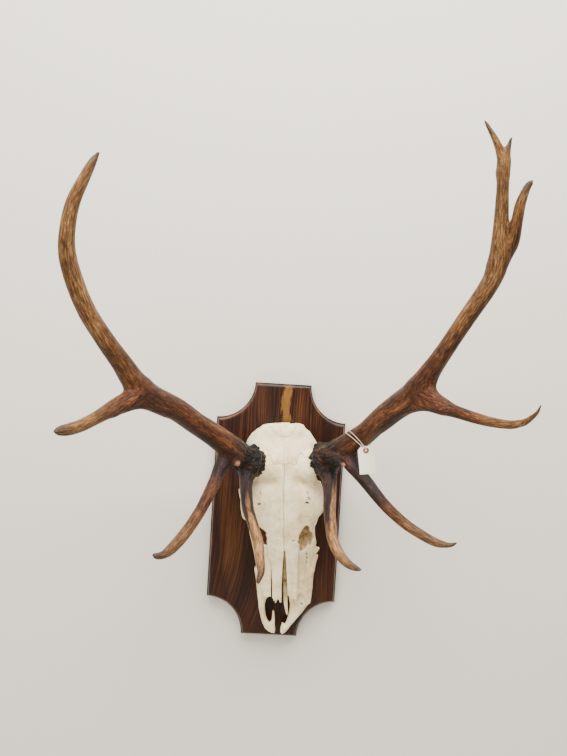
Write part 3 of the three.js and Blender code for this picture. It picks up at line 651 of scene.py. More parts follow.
def dressAntler(side, seed):
    # grooves, pearls, ruff and furrows push the surface out along its normals, and leave masks
    points, faces, skin = antlerSurface(side)
    normals = normalsOf(points, faces)
    tipGap, isBeam, beamAlong = skin["tipGap"], skin["isBeam"], skin["beamAlong"]
    isTine = 1 - isBeam
    # how near the foot: along the beam, and for the lowest tines a little way along them
    foot = (1 - ramp(beamAlong, *antlerSkin["foot"])) * isBeam
    foot = np.maximum(foot, isTine * (1 - ramp(beamAlong, 30, 72)) * (1 - ramp(skin["tineAlong"], 10, 52)))

    # grooves: noise on the place round each branch, stretched along it, folded into ridges
    groove = 0
    for grain, weight in ((skin["beamGrain"], isBeam), (skin["tineGrain"], isTine)):
        wide = roughness(grain / antlerSkin["grooveWide"], 2, seed)
        narrow = 1 - np.abs(noise(grain / antlerSkin["grooveNarrow"], seed + 5)) * 2
        groove = groove + (0.9 * wide + 0.55 * narrow) * weight
    polish = 1 - ramp(tipGap, *antlerSkin["polish"])
    groove = groove * (0.5 + 1.1 * foot) * (1 - 0.8 * polish) * ramp(tipGap, 0, 25)
    # pearls: small knobs scattered over the lower beam
    pearl = np.clip(1 - knobs(points / antlerSkin["pearlPitch"], seed + 9) * 1.5, 0, 1)
    pearl *= (0.25 + 0.9 * foot) * (1 - ramp(beamAlong, 70, 240)) * (1 - polish) * (isBeam * 0.6 + 0.4)
    # the ruff of the burr: coarse knobs that stand out round the foot, drawn out along the beam
    ruff = np.exp(-((beamAlong - antlerSkin["burrAt"]) / 9.5) ** 2) * ramp(isBeam, 0.1, 0.6)
    knob, furrow = (
        np.sqrt(np.clip(1 - (knobs(skin["beamGrain"] / antlerSkin[pitch], seed + extra) * sharp) ** 2, 0, 1))
        for pitch, extra, sharp in (("ruffPitch", 3, 1.3), ("furrowPitch", 31, 1.25)))
    lift = groove + 0.8 * pearl + ruff * (4.2 * knob - 1.9) + foot * (1 - ruff) * (2.8 * furrow - 1.4)
    points = points + normals * lift[:, None]

    # the rubbed ends: the last part of every tine and of the beam
    rubbed = 1 - ramp(np.where(isTine > 0.5, skin["tineLeft"], tipGap), *antlerSkin["rubbed"])
    rubbed = rubbed * (1 - foot) * (1 - ramp(skin["isKnob"], 0.05, 0.5))
    # the brow tine is pale down the side that faces out into the room and dark down its edges
    browEnd, bezEnd = antlerSkin["darkTo"][side]
    browEnd = browEnd + 85 * (1 - ramp(normals @ antlerSkin["paleSide"][side], 0.42, 0.86))
    dark = skin["isBrow"] * (1 - ramp(skin["tineAlong"], browEnd - 45, browEnd))
    dark = dark + skin["isBez"] * (1 - ramp(skin["tineAlong"], bezEnd - 50, bezEnd))
    dark = dark + isBeam * (1 - ramp(beamAlong, 60, 130)) * 0.8
    middle = ramp(skin["tineAlong"], browEnd - 40, browEnd + 12) * ramp(skin["tineLeft"], 18, 60)
    # painted shade: where the surface faces down it is laid darker
    underShade = ramp(-normals[:, 2], 0.30, 0.85) * (1 - 0.6 * rubbed) * (1 - 0.5 * foot)

    # a hair of surface that stands past the solids' own box is drawn back to it
    piece = addMesh(f"{side}_antler", np.clip(toRow(points), *cadBox), faces[:, ::-1])
    masks = {
        "beamGrain": skin["beamGrain"] * mm,
        "tineGrain": skin["tineGrain"] * mm,
        "tine": ramp(isTine, 0.25, 0.75),
        "ridge": np.clip(0.5 + 0.6 * groove + 0.6 * pearl, 0, 1),
        "burr": np.clip(np.maximum(np.maximum(ruff, foot), 0.94 * ramp(skin["isKnob"], 0.1, 0.6)), 0, 1),
        "pit": np.clip(np.maximum((1 - knob) * ruff, (1 - furrow) * foot * 0.8), 0, 1),
        "rubbed": rubbed,
        "tip": 1 - ramp(tipGap, 4, 46),
        "upper": ramp(skin["beamShare"], 0.36, 0.80) * isBeam,
        "dark": np.clip(dark, 0, 1) * (1 - skin["isKnob"]),
        "polished": skin["isBrow"] * middle,
        "knob": ramp(skin["isKnob"], 0.5, 0.9) * (1 - ramp(skin["tineLeft"], 1, 7)),
        # a golden line along the keel's ridge, a painted highlight
        "keel": 0.85 * np.exp(-(np.maximum(skin["keelGap"] - 0.4, 0) / 1.25) ** 2) * (1 - rubbed),
        # painted shade: the undersides, and the band below the keel
        "underShade": np.maximum(underShade, 0.9 * skin["belowKeel"]),
    }
    for name, values in masks.items():
        addMask(piece, name, values)
    return piece


def antlerMaterial():
    # a tone of streaks, broad bands, clouds and specks picks each colour from its ramp, and the
    # masks lay the colours over one another
    material, n, shader = newMaterial("antler", Specular_IOR_Level=0.20, Sheen_Weight=0.04, Sheen_Roughness=0.45)
    place, tine, burr = n.object(), n.mask("tine"), n.mask("burr")
    grains = n.vector("beamGrain"), n.vector("tineGrain")
    streak = n.mixed(tine, *[n.noise(grain, 600.0, 5.0, 0.74) for grain in grains])
    broad = n.mixed(tine, *[n.noise(grain, 95.0, 3.0, 0.6) for grain in grains])
    cloud = n.noise(place, 22.0, 3.0, 0.6)
    bead = n.add("ShaderNodeTexVoronoi", {"Vector": place, "Scale": 260.0}).outputs["Distance"]
    bead = n.minus(1.0, n.times(bead, 1.5), clamp=True)
    relief = n.plus(n.times(streak, 0.8), n.times(n.times(bead, burr), 1.1))
    grain = n.group(fineGrain, Place=place, Scale=1100.0, Relief=relief, Share=0.25, Strength=0.7, Distance=0.0018)
    speck = grain.outputs["Grain"]
    tone = n.tone(0.5, ((n.mask("ridge"), 0.30), (streak, 1.25), (broad, 0.34), (cloud, 0.24), (speck, 0.22)))

    colour = n.ramp(tone, antlerInk["lower"])
    colour = n.mix(n.mask("upper"), colour, n.ramp(tone, antlerInk["upper"]))
    colour = n.layer(colour, n.mask("rubbed"), 0.85, n.ramp(tone, antlerInk["rubbed"]))
    shade = n.plus(n.mask("dark"), n.sway(cloud, 1.1), clamp=True)
    colour = n.layer(colour, shade, n.mask("dark"), n.ramp(tone, antlerInk["dark"]))
    colour = n.layer(colour, n.mask("polished"), 0.8, n.ramp(tone, antlerInk["polished"]))
    # painted shade over the undersides and the band below the keel
    colour = n.layer(colour, n.mask("underShade"), 0.60, antlerInk["underShade"])
    # painted highlight along the keel's ridge
    colour = n.layer(colour, n.mask("keel"), n.times(streak, 1.4, clamp=True), antlerInk["keel"])
    worn = n.plus(n.mask("tip"), n.sway(cloud, 1.4), clamp=True)
    colour = n.layer(colour, worn, n.mask("tip"), n.ramp(tone, antlerInk["tip"]))
    # the beads' tops are painted lighter: partly the pearls' own colour, partly a painted highlight
    beaded = n.plus(n.times(tone, 0.55), n.times(bead, 0.42))
    colour = n.layer(colour, burr, 0.97, n.ramp(beaded, antlerInk["burr"]))
    colour = n.layer(colour, n.mask("pit"), 0.85, antlerInk["pit"])
    colour = n.mix(n.mask("knob"), colour, n.ramp(tone, antlerInk["knob"]))
    gloss = n.plus(n.times(speck, 0.22), n.times(n.mask("rubbed"), -0.12))
    cover(n, shader, colour, n.plus(gloss, 0.40, clamp=True), grain)
    return material


antlerStuff = antlerMaterial()
for number, side in enumerate(antlers):
    antler = dressAntler(side, 20 + 40 * number)
    finishPiece(antler, antlers[side]["nodes"], antlerStuff)
    report(f"{side} antler, {len(antler.data.polygons)} faces")


skull = {
    "cell": 1.75,
    "low": (-104, -2, -14),
    "high": (100, 168, 466),
    # cross sections up the skull: z, left, right, crown, waist, floor, fullness of the crown
    "sections": [
        [70, 52, 51, 56, 36, 24, 0.80], [92, 55, 56, 65, 38, 22, 0.78], [112, 57, 58, 69, 40, 20, 0.76],
        [135, 59, 59, 75, 42, 18, 0.76], [160, 61, 61, 82, 45, 18, 0.78], [185, 64, 64, 91, 48, 18, 0.80],
        [205, 68, 65, 98, 50, 18, 0.80], [225, 72, 64, 104, 54, 19, 0.78], [245, 75, 63, 110, 62, 20, 0.72],
        [262, 78, 65, 115, 76, 22, 0.66], [280, 82, 72, 119, 88, 25, 0.60], [300, 83, 76, 124, 92, 29, 0.56],
        [318, 79, 71, 128, 95, 30, 0.58], [335, 68, 62, 131, 96, 27, 0.62], [355, 55, 53, 132, 88, 22, 0.66],
        [380, 51, 50, 131, 78, 17, 0.70], [398, 66, 60, 126, 76, 18, 0.72], [414, 79, 70, 119, 78, 24, 0.74],
        [429, 76, 66, 114, 82, 32, 0.70], [443, 66, 56, 110, 88, 46, 0.60], [451, 58, 50, 106, 92, 62, 0.54],
        [459, 50, 46, 100, 95, 84, 0.50],
    ],
    "floorFullness": 0.6,
    # broad swellings and hollows of the upper side: x, z, half width, half height, amount
    "swells": [
        [-33, 344, 17, 14, -9.0], [33, 344, 17, 14, -9.0], [0, 335, 7, 40, -1.6], [-50, 308, 14, 18, 3.0],
        [50, 308, 14, 18, 3.0], [-30, 427, 13, 12, -3.6], [30, 427, 13, 12, -3.6], [0, 441, 13, 9, 2.2],
        [0, 395, 20, 16, 1.6], [-42, 268, 12, 22, -3.0], [42, 268, 12, 22, -3.0], [0, 250, 22, 30, 1.6],
        [-47, 160, 9, 36, -3.4], [47, 160, 9, 36, -3.4], [0, 214, 12, 14, -1.5], [44, 132, 9, 22, 2.2],
    ],
    # each eye socket: its middle, the rim's radius, the height of the shelf over it and the reach of
    # the cheek's arch
    "sockets": {
        -1: {"at": (-85, 78, 292), "rim": 24, "shelf": 291, "arch": 80},
        1: {"at": (67, 78, 301), "rim": 27, "shelf": 301, "arch": 72},
    },
    # the cross sections of the nose passage, and the stations of the wall that parts it
    "passage": [
        [40, 60, 60, 90, 50, 4, 0.8], [78, 44, 44, 66, 46, 8, 0.8], [104, 40, 42, 60, 44, 12, 0.8],
        [132, 37, 38, 66, 44, 26, 0.8], [170, 30, 31, 74, 50, 28, 0.8], [205, 16, 16, 78, 56, 42, 0.8],
    ],
    "septum": [
        [0.2, 84, 204, 3.0], [0.8, 64, 158, 3.4], [1.4, 54, 126, 4.4], [2.4, 47, 96, 4.8], [3.6, 44, 72, 4.0],
        [5.6, 42, 54, 2.6], [6.2, 41, 47, 1.2],
    ],
    "smallestHole": 1.2,    # openings smaller than this are painted and not cut
    "stretch": (
        # true place against grid place: finer cells about the middle and the nose
        ([-124, -40, 40, 120], [-144, -34.8, 34.8, 135]),
        ([-4, 70, 170], [-14, 71, 165]),
        ([-30, 120, 260, 470], [-19, 110, 250, 480]),
    ),
}

# outlines across and up the skull, seen from the front
crest = [
    (-120, 392), (-82, 404), (-76.5, 410), (-77, 417), (-73, 424), (-66, 433.5), (-60, 438), (-56.4, 441),
    (-49.2, 446.3), (-43, 451.6), (-36, 453.2), (-29.5, 455.2), (-20, 455.4), (-11.4, 455.9), (0, 456.7),
    (9, 455.8), (14.6, 453.5), (22.5, 455.4), (31.6, 454.5), (38.8, 451.4), (43.6, 444), (48, 439.5),
    (52.4, 436.4), (60, 425.6), (65.8, 415.4), (66, 411), (62.9, 407), (100, 380), (140, 380), (140, -40),
    (-120, -40),
]
jawLeft = [
    (-62, 150), (-59, 124), (-57, 98), (-55, 76), (-53, 56), (-50, 38), (-46, 23), (-41, 11), (-34, 4),
    (-26, 0), (-20, -1), (-18.5, 6), (-19.5, 20), (-19.5, 36), (-20.5, 47), (-22, 51), (-24, 50), (-25, 42),
    (-25.5, 33), (-27.5, 26), (-31, 24), (-35, 29), (-38.5, 40), (-40.5, 54), (-40.5, 66), (-38, 78),
    (-33, 87), (-28, 94), (-27, 112), (-27, 150),
]
jawRight = [
    (62, 150), (60, 124), (58.5, 104), (57, 86), (55, 71), (48, 61), (38, 46), (26, 31), (14, 15), (4, 1),
    (-4, -4), (-8, 1), (-7.5, 10), (-5.5, 18), (-3, 24), (-1, 21), (1, 19.5), (4.5, 24), (7.5, 33), (10, 45),
    (12, 57), (12.5, 68), (10.5, 78), (9.5, 86), (14, 100), (22, 114), (27, 128), (27, 150),
]
noseLeft = [
    (-27, 246), (-26.5, 200), (-25.5, 160), (-25.2, 120), (-24.6, 98), (-22.8, 88), (-22.2, 81), (-20.4, 85.5),
    (-19.2, 79), (-18, 75.5), (-16.6, 80), (-15, 84.5), (-12.4, 88), (-10.6, 84), (-9, 78.5), (-7.4, 76.5),
    (-6, 79), (-5.4, 90), (-4.9, 110), (-4.2, 140), (-2.8, 172), (-1.6, 196), (-1, 246),
]
noseRight = [
    (1, 246), (0.8, 196), (3.3, 172), (6.8, 139), (9, 111), (10.2, 94), (11.4, 85), (12.6, 79), (13.6, 78),
    (15.2, 84), (17, 88.5), (18.8, 86), (20.2, 87.5), (22, 81), (23.6, 76.5), (24.8, 78), (25.8, 75.5),
    (26.6, 88), (27.2, 120), (28.5, 165), (29, 200), (29, 246),
]
tearPit = {
    1: [
        (42.6, 252), (47, 250.5), (49.6, 246), (50.6, 238), (54, 234.5), (57.5, 231.5), (59, 225),
        (60.6, 219.6), (57.5, 215), (55.1, 211), (53.6, 202), (51, 207), (49.2, 212), (47.5, 207),
        (45.5, 203.5), (42.6, 199), (38.5, 196), (34.5, 193), (31.4, 195.5), (31, 203), (30.2, 210.5),
        (26.6, 214.6), (25.6, 216.6), (28.6, 220.6), (28.4, 226), (29.6, 232), (32.5, 237), (35, 243),
        (39, 248.5),
    ],
    -1: [
        (-49.5, 250), (-46.5, 245.5), (-42, 243.5), (-39, 239), (-36.4, 238), (-37.6, 231), (-35.2, 226),
        (-36.2, 217), (-34.6, 211), (-38, 208.5), (-43, 211), (-46.6, 207), (-52, 205), (-60, 212), (-62, 228),
        (-56, 242), (-52, 243),
    ],
}
# the clefts beside and between the nose bones
noseClefts = [
    ([(-27.6, 90), (-25.4, 90), (-25.2, 128), (-26, 153), (-26.8, 153), (-27.4, 128)], 60),
    ([(-5.2, 60), (7, 60), (6.2, 110), (4.4, 150), (1.6, 197), (-1.4, 197), (-4.4, 150), (-5.6, 110)], 84),
]
cheekSpur = [
    (50, 136), (62.5, 143), (64.6, 154), (67, 164), (70.6, 178.6), (69.4, 180), (66.4, 177.4), (64.6, 177),
    (65.4, 181), (68, 184), (70.4, 188.6), (74, 193.6), (72.6, 195.4), (69.4, 194.6), (66.9, 196.4),
    (64.6, 197.4), (63, 199.4), (65.6, 201.6), (66.6, 205), (64, 215), (57, 215), (51, 190),
]
# the seams between the bones in three sets that keep apart: lines across and up the skull, with the
# half width and strength of each
seams = [
    [([(-1.6, 381), (-0.6, 366), (-2.2, 342), (-2.9, 328), (-3.2, 311), (-2.3, 298), (-2, 270), (-1.6, 218),
       (-1.2, 192)], 0.75, 0.9),
     ([(-2, 431), (-1.4, 408), (-2.6, 381)], 0.8, 0.25)],
    [([(-43, 393), (-37, 396.4), (-31.8, 398), (-27.4, 395), (-25.8, 389), (-24.4, 383), (-21, 380), (-10, 380),
       (0, 379), (9.6, 380.4), (15, 379.2), (20.4, 377.5), (23.7, 383), (24.9, 391), (27.2, 395.6), (31.6, 399), (37, 395.6),
       (42.4, 392.4), (50, 394.3)], 0.85, 0.62),
     ([(-31, 452), (-27, 449), (-22.9, 442.5), (-14, 434), (-5.2, 430.7), (5.8, 430.1), (13.6, 434), (17.6, 441.3),
       (22.8, 450.8)], 1.3, 0.45),
     ([(-31, 243), (-20, 232), (-3, 228)], 0.5, 0.2), ([(38, 252), (24, 244), (4, 236)], 0.5, 0.18)],
    [([(-37, 212), (-34, 183), (-28.4, 165), (-26.2, 130), (-25.8, 98)], 0.7, 0.75),
     ([(29.6, 212), (29.4, 196), (28.4, 170), (27.2, 130), (26.6, 88)], 0.7, 0.65),
     ([(45.4, 190), (46, 178), (45, 160), (40, 120)], 0.7, 0.35),
     ([(-48.6, 330), (-48.2, 318), (-50, 304)], 1.1, 0.35), ([(44.8, 330), (46, 318), (45, 306)], 1.1, 0.3),
     ([(29, 219), (22, 222), (17, 220.5)], 0.6, 0.4), ([(-4.6, 381), (-4, 371), (-1.5, 362)], 0.7, 0.5),
     ([(4.4, 381), (3.6, 371), (1.9, 362)], 0.7, 0.5)],
]
# openings for nerves and vessels: x, z, half sizes, turn
pores = [
    (-51, 299.6, 2.9, 1.4, 0.1), (44, 301.8, 3.4, 1.7, -0.35), (48.3, 309.6, 1.5, 1.1, -0.5),
    (47.2, 313, 0.8, 0.8, 0.0), (37, 70, 1.7, 1.5, 0.0), (45.2, 187, 0.8, 1.6, 0.1),
    (46.1, 178.6, 0.8, 1.9, 0.0), (45.6, 168.6, 0.7, 1.5, 0.0), (17.4, 221.4, 1.7, 0.8, 0.4),
    (-48.4, 322.4, 0.9, 1.7, 0.0), (44.6, 322, 0.8, 1.3, 0.0),
]


def polygonGap(outline, x, z):
    # signed distance from points of the plane to a closed outline, negative inside: the least
    # distance to its sides, with the sign of an odd number of crossings
    p = np.asarray(outline, float)
    q = np.roll(p, -1, axis=0)
    nearest = np.full(np.broadcast(x, z).shape, 1e9)
    odd = np.zeros(nearest.shape, bool)
    for (ax, az), (bx, bz) in zip(p, q):
        ex, ez = bx - ax, bz - az
        t = np.clip(((x - ax) * ex + (z - az) * ez) / max(ex * ex + ez * ez, 1e-9), 0, 1)
        nearest = np.minimum(nearest, (x - ax - t * ex) ** 2 + (z - az - t * ez) ** 2)
        if az != bz:
            spans = (az > z) != (bz > z)
            odd ^= spans & (x < ax + (z - az) * ex / ez)
    return np.where(odd, -1, 1) * np.sqrt(nearest)


def smoothTable(rows, z):
    # each column of a table read at z, eased between its rows so that the slope has no jump
    rows = np.asarray(rows, float)
    fine = np.linspace(rows[0, 0], rows[-1, 0], 800)
    reach = 13
    ease = np.hanning(2 * reach + 1)
    ease /= ease.sum()
    out = []
    for column in rows.T[1:]:
        value = np.interp(fine, rows[:, 0], column)
        value = np.convolve(np.pad(value, reach, "edge"), ease, "valid")
        out.append(np.interp(z, fine, value))
    return out


def bulk(p, sections, lift=0.0):
    # a body through cross sections: in each, the left, right, upper and lower quarters are
    # quarters of a rounded square of their own half widths
    x, out, z = p
    left, right, crown, waist, floor, full = smoothTable(sections, z)
    crown = crown + lift
    u = np.where(x > 0, x / right, -x / left)
    above = out > waist
    v = np.where(above, (out - waist) / (crown - waist), (waist - out) / (waist - floor))
    power = np.where(above, 2 / full, 2 / skull["floorFullness"])
    size = (np.abs(u) ** power + np.abs(v) ** power) ** (1 / power)
    reach = np.minimum(np.where(x > 0, right, left), np.where(above, crown - waist, waist - floor))
    gap = (size - 1) * reach
    low, high = sections[0][0], sections[-1][0]
    return np.maximum(gap, np.maximum(low - z, z - high) * 0.9)


def egg(p, centre, halfSizes):
    # an ellipsoid: how far a point lies outside it, measured along its own scaled radius
    scaled = [(value - c) / h for value, c, h in zip(p, centre, halfSizes)]
    size = np.sqrt(sum(s ** 2 for s in scaled))
    return (size - 1) * min(halfSizes)


def bar(p, stations, flat=1.0):
    # a bar through stations of [x, out, z, radius]; flat squeezes the reach along out
    points = np.stack([value.ravel() for value in np.broadcast_arrays(*p)], axis=-1)
    scaled = np.array([1, 1 / flat, 1])
    stations = [[x, out / flat, z, r] for x, out, z, r in stations]
    gap, place = nearestOn(threadLine(stations, 5.0), points * scaled)
    return gap.reshape(np.broadcast(*p).shape)


def slab(p, outline, middle, half, edge):
    # a plate with the outline across and up the skull, between two heights, its edges rounded
    x, out, z = p
    side = polygonGap(outline, x, z)
    face = np.abs(out - middle) - half
    return -soften(-side, -face, edge)


def crownLift(x, z):
    # the swellings, and the step down from the nose bones to the cheek beside them
    step = ramp(x, 28.2, 30.6) * (1 - ramp(x, 42, 60)) * 4.6
    step = step + ramp(-x, 26.4, 28.8) * (1 - ramp(-x, 36, 52)) * 2.2
    lift = -step * ramp(z, 60, 95) * (1 - ramp(z, 186, 216))
    lift = lift - 5.5 * (1 - ramp(z, 86, 102)) * ramp(x, 2, 8) * (1 - ramp(x, 32, 44))
    for cx, cz, halfX, halfZ, amount in skull["swells"]:
        lift = lift + amount * np.exp(-((x - cx) / halfX) ** 2 - ((z - cz) / halfZ) ** 2)
    return lift


def jawMiddle(z):
    # the front plates' mid height: low at the tip, rising back to meet the face
    rise = np.clip(z / 110, 0, 1.3)
    return 18 + 22 * rise ** 1.25


def poreSize(pore, x, z, grow=0.0):
    # how far a place lies from the middle of an opening, in its own turned half sizes
    cx, cz, halfX, halfZ, turn = pore
    u = (x - cx) * math.cos(turn) + (z - cz) * math.sin(turn)
    w = (z - cz) * math.cos(turn) - (x - cx) * math.sin(turn)
    return np.sqrt((u / (halfX + grow)) ** 2 + (w / (halfZ + grow)) ** 2)


def skullField(points):
    # the bulk through the cross sections, with each part of the skull melted on by soften or cut
    # away by carve
    p = tuple(points.T)
    x, out, z = p
    gap = bulk(p, skull["sections"], crownLift(x, z))

    # stumps that carry the antlers
    for side in ("left", "right"):
        foot, second = (np.array(station[:3], float) for station in antlers[side]["beam"][:2])
        ahead = (second - foot) / np.linalg.norm(second - foot)
        stump = [[*(foot + ahead * reach), radius] for reach, radius in ((-36, 31), (-16, 26.5), (2, 24.5), (9, 24))]
        gap = soften(gap, bar(p, stump), 9)

    # eye sockets: a rim, a shelf of brow above it and an arch of cheek below and behind it
    for side, socket in skull["sockets"].items():
        cx, cout, cz = socket["at"]
        dx = (x - cx) + side * 0.18 * (out - cout)
        ring = np.sqrt((out - cout) ** 2 + ((z - cz) / 1.08) ** 2)
        rim = np.sqrt((ring - socket["rim"]) ** 2 + (dx * 0.8) ** 2) - 6.2
        gap = soften(gap, egg(p, (side * 61, 104, socket["shelf"]), (18, 15, 30)), 10)
        gap = soften(gap, rim, 7)
        wide = side * socket["arch"]
        arch = [[side * 60, 48, 246, 8.5], [wide * 0.98, 49, 276, 7.6], [wide * 1.02, 50, 304, 7],
                [wide * 0.98, 52, 334, 6.2], [wide * 0.92, 53, 362, 6], [side * 62, 55, 388, 7.5],
                [side * 52, 58, 404, 9]]
        gap = soften(gap, bar(p, arch, 1.2), 5)
        for centre, halfSizes, edge in (((cx + side * 7, cout, cz), (30, 24.5, 26.5), 3),
                                        ((side * 80, 98, 368), (31, 46, 25), 8),
                                        ((side * 66, 54, 352), (11, 13, 34), 5)):
            gap = carve(gap, egg(p, centre, halfSizes), edge)

    # the left socket's rim falls away below in a slant
    slant = (x + 97.5) * -0.973 + (z - 315) * -0.23
    gap = carve(gap, -slant, 5)

    # underside: roof of the mouth, the wide hollow behind the palate, room for the brain
    gap = carve(gap, egg(p, (0, -4, 168), (28, 33, 112)), 6)
    gap = carve(gap, egg(p, (0, 0, 322), (31, 36, 64)), 6)
    knuckles = [egg(p, (side * 19, 27, 432), (13, 20, 17)) for side in (-1, 1)]
    gap = soften(gap, np.minimum(*knuckles), 6)
    gap = carve(gap, egg(p, (0, 42, 450), (14.5, 15, 34)), 4)
    for side in (-1, 1):
        spike = [[side * 44, 48, 410, 11], [side * 42, 24, 405, 7], [side * 38, 5.5, 400, 3]]
        gap = soften(gap, bar(p, spike), 4)
        gap = soften(gap, egg(p, (side * 25, 27, 392), (10, 16, 18)), 5)

    # nose passage, open at the front, then the plates around it
    gap = carve(gap, bulk(p, skull["passage"]), 2)
    middle, half = jawMiddle(z), 6.5 + 0.05 * z
    front = np.minimum(*[slab(p, outline, middle, half, 7) for outline in (jawLeft, jawRight)])
    gap = soften(gap, np.maximum(front, z - 150), 5)
    roof = smoothTable(skull["sections"], z)[2]
    for outline, cx in ((noseLeft, -14), (noseRight, 16)):
        bend = 0.012 * (x - cx) ** 2
        blade = slab(p, outline, roof - 3.6 - bend, 3.2, 2.5)
        gap = soften(gap, np.maximum(blade, z - 225), 2)
    gap = carve(gap, np.minimum(*[slab(p, outline, height, 34, 1) for outline, height in noseClefts]), 1)
    gap = soften(gap, bar(p, skull["septum"]), 1.5)
    gap = soften(gap, slab(p, cheekSpur, 60 + 0.1 * (z - 200), 6, 3), 3)

    for side, outline in tearPit.items():
        floor = 98 - 0.35 * np.abs(x)
        gap = carve(gap, slab(p, outline, floor + 12, 22 if side > 0 else 27, 2), 1.2)
    for pore in pores:
        half = min(pore[2:4])
        if half > skull["smallestHole"]:
            gap = carve(gap, np.maximum((poreSize(pore, x, z) - 1) * half, 60 - out), 0.8)
    wander = 0.8 * np.sin(x * 0.9 + z * 0.35) + 0.6 * np.sin(z * 1.3 - x * 0.5)
    return np.maximum(gap, polygonGap(crest, x, z + 0.7 * wander) * 0.9)


teeth = {"count": 6, "first": (33, 132), "step": (2.1, 21), "lobe": 4.9, "length": 6.2, "width": 8.2}


def teethField(points):
    # six cheek teeth a side: each two rounded lobes with a groove between, and a hollowed crown
    x, out, z = points.T
    length = teeth["length"]
    gap = np.full(len(x), 60.0)
    for side, i, lobe in product((-1, 1), range(teeth["count"]), (-1, 1)):
        cx, cz = side * (teeth["first"][0] + i * teeth["step"][0]), teeth["first"][1] + i * teeth["step"][1]
        width = teeth["width"] + 0.25 * i
        u, w = (x - cx) / width, (z - cz - lobe * teeth["lobe"]) / length
        wall = ((np.abs(u) ** 3 + np.abs(w) ** 3) ** (1 / 3) - 1) * length
        crown = 1.6 + 2.2 * np.cos(np.clip(u, -1, 1) * 3.1) * 0.5
        gap = soften(gap, np.maximum(wall, np.maximum(crown - out, out - 34)), 1.6)
    return gap


def wholeSkullField(points):
    # the skull with its teeth, cut off flat where it lies on the plaque
    gap = soften(skullField(points), teethField(points), 2.2)
    return np.maximum(gap, 0.6 - points[:, 1])


def bent(points):
    # from the grid's even places to true ones, each coordinate through its own table
    return np.stack([np.interp(points[:, k], *skull["stretch"][k]) for k in range(3)], axis=-1)


def lineGap(points, x, z):
    # distance in the plane from each place to an open line, with the sign of the side it is on, and
    # a fade over the line's ends
    nearest, signed, fade = np.full(len(x), 1e9), np.zeros(len(x)), np.ones(len(x))
    for i, ((ax, az), (bx, bz)) in enumerate(zip(points, points[1:])):
        ex, ez = bx - ax, bz - az
        share = ((x - ax) * ex + (z - az) * ez) / (ex * ex + ez * ez)
        t = np.clip(share, 0, 1)
        gap = np.hypot(x - ax - t * ex, z - az - t * ez)
        closer = gap < nearest
        side = np.where(ex * (z - az) - ez * (x - ax) < 0, -1, 1)
        length = math.hypot(ex, ez)
        past = np.zeros(len(x))
        if i == 0:
            past = np.maximum(past, -share * length)
        if i == len(points) - 2:
            past = np.maximum(past, (share - 1) * length)
        for kept, value in ((nearest, gap), (signed, gap * side), (fade, 1 - ramp(past, 0, 2.5))):
            kept[closer] = value[closer]
    return signed, fade


def seamMasks(x, z):
    # for each set of seams the signed distance to the nearest, in shares of its half width, and
    # how strongly it shows
    gaps, shows = [], []
    for group in seams:
        best, gap, show = np.full(len(x), 1e9), np.full(len(x), 50.0), np.zeros(len(x))
        for line, half, strength in group:
            signed, fade = lineGap(line, x, z)
            closer = np.abs(signed) < best
            best[closer] = np.abs(signed)[closer]
            gap[closer], show[closer] = (signed / half)[closer], (strength * fade)[closer]
        gaps.append(np.clip(gap, -12, 12))
        shows.append(show)
    return np.stack(gaps, axis=-1), np.stack(shows, axis=-1)


def dressSkull():
    # noise, seams and the torn floors of the pits push the surface along its normals, and leave masks
    points, faces = surfaceOf(lambda grid: wholeSkullField(bent(grid)) / 1.25, skull["low"], skull["high"],
                              skull["cell"])
    points = bent(points)
    normals = normalsOf(points, faces)
    x, out, z = points.T
    # how deep each place lies inside the bulk; the deeper places are painted darker, a painted shade
    depth = np.clip(-bulk((x, out, z), skull["sections"], crownLift(x, z)), 0, 40)
    upper = ramp(normals[:, 1], -0.1, 0.4)
    coarse, fine, ragged = (roughness(points / pitch, 3, seed) for pitch, seed in ((26, 71), (7, 75), (5.5, 90)))
    pit = np.zeros(len(points))
    for outline in tearPit.values():
        pit = np.maximum(pit, ramp(-polygonGap(outline, x, z), -1.2, 0.8) * ramp(depth, 2.0, 5) * (out > 40))
    seamGap, seamShow = seamMasks(x, z)
    seam = (np.exp(-(seamGap / 2.2) ** 2) * seamShow).max(axis=1)
    # painted shade: each opening is painted nearly black, as the dark inside it
    poreShade = np.zeros(len(points))
    for pore in pores:
        poreShade = np.maximum(poreShade, 1 - ramp(poreSize(pore, x, z, 0.5), 0.7, 1.5))
    # painted shade: tan in the hollows below the brow's seam, round the sides at the sockets, beside the nose bones
    # and down the muzzle's sides
    hollowShade = np.exp(-((np.abs(x - 1) - 34) / 20) ** 2 - ((z - 341) / 17) ** 2)
    rimShade = 0.75 * np.exp(-((z - 335) / 26) ** 2) * ramp(np.abs(x), 42, 62)
    cheekShade = 0.85 * ramp(x, 28, 31) * ramp(z, 70, 110) * (1 - ramp(z, 175, 215))
    cheekShade = cheekShade + 0.4 * ramp(np.abs(x), 52, 66) * (1 - ramp(z, 200, 260))
    septum = ramp(depth, 6, 12) * (np.abs(x - 3) < 14) * (z > 40) * (z < 215) * (out > 30)
    masks = {
        "depth": ramp(depth, 5, 22),
        "pit": pit,
        "raw": pit * (x < 0),
        "hollowShade": np.clip(hollowShade + rimShade + cheekShade, 0, 1) * upper,
        "tooth": (teethField(points) < 1.2) & (out < 28),
        "septum": septum * (0.25 + 0.75 * ramp(z, 108, 128)),
        "clot": septum * np.exp(-((x - 1) / 5) ** 2 - ((z - 125.5) / 3.2) ** 2),
        "place": points * mm,
        "hole": poreShade * upper,
        "seamGap": seamGap,
        "seamShow": seamShow * upper[:, None],
    }
    lift = 0.38 * coarse + 0.24 * fine - 0.7 * seam * upper + 2.2 * ragged * pit
    points = points + normals * lift[:, None]
    piece = addMesh("skull_bone", toRow(points), faces[:, ::-1])
    for name, values in masks.items():
        addMask(piece, name, values)
    return piece


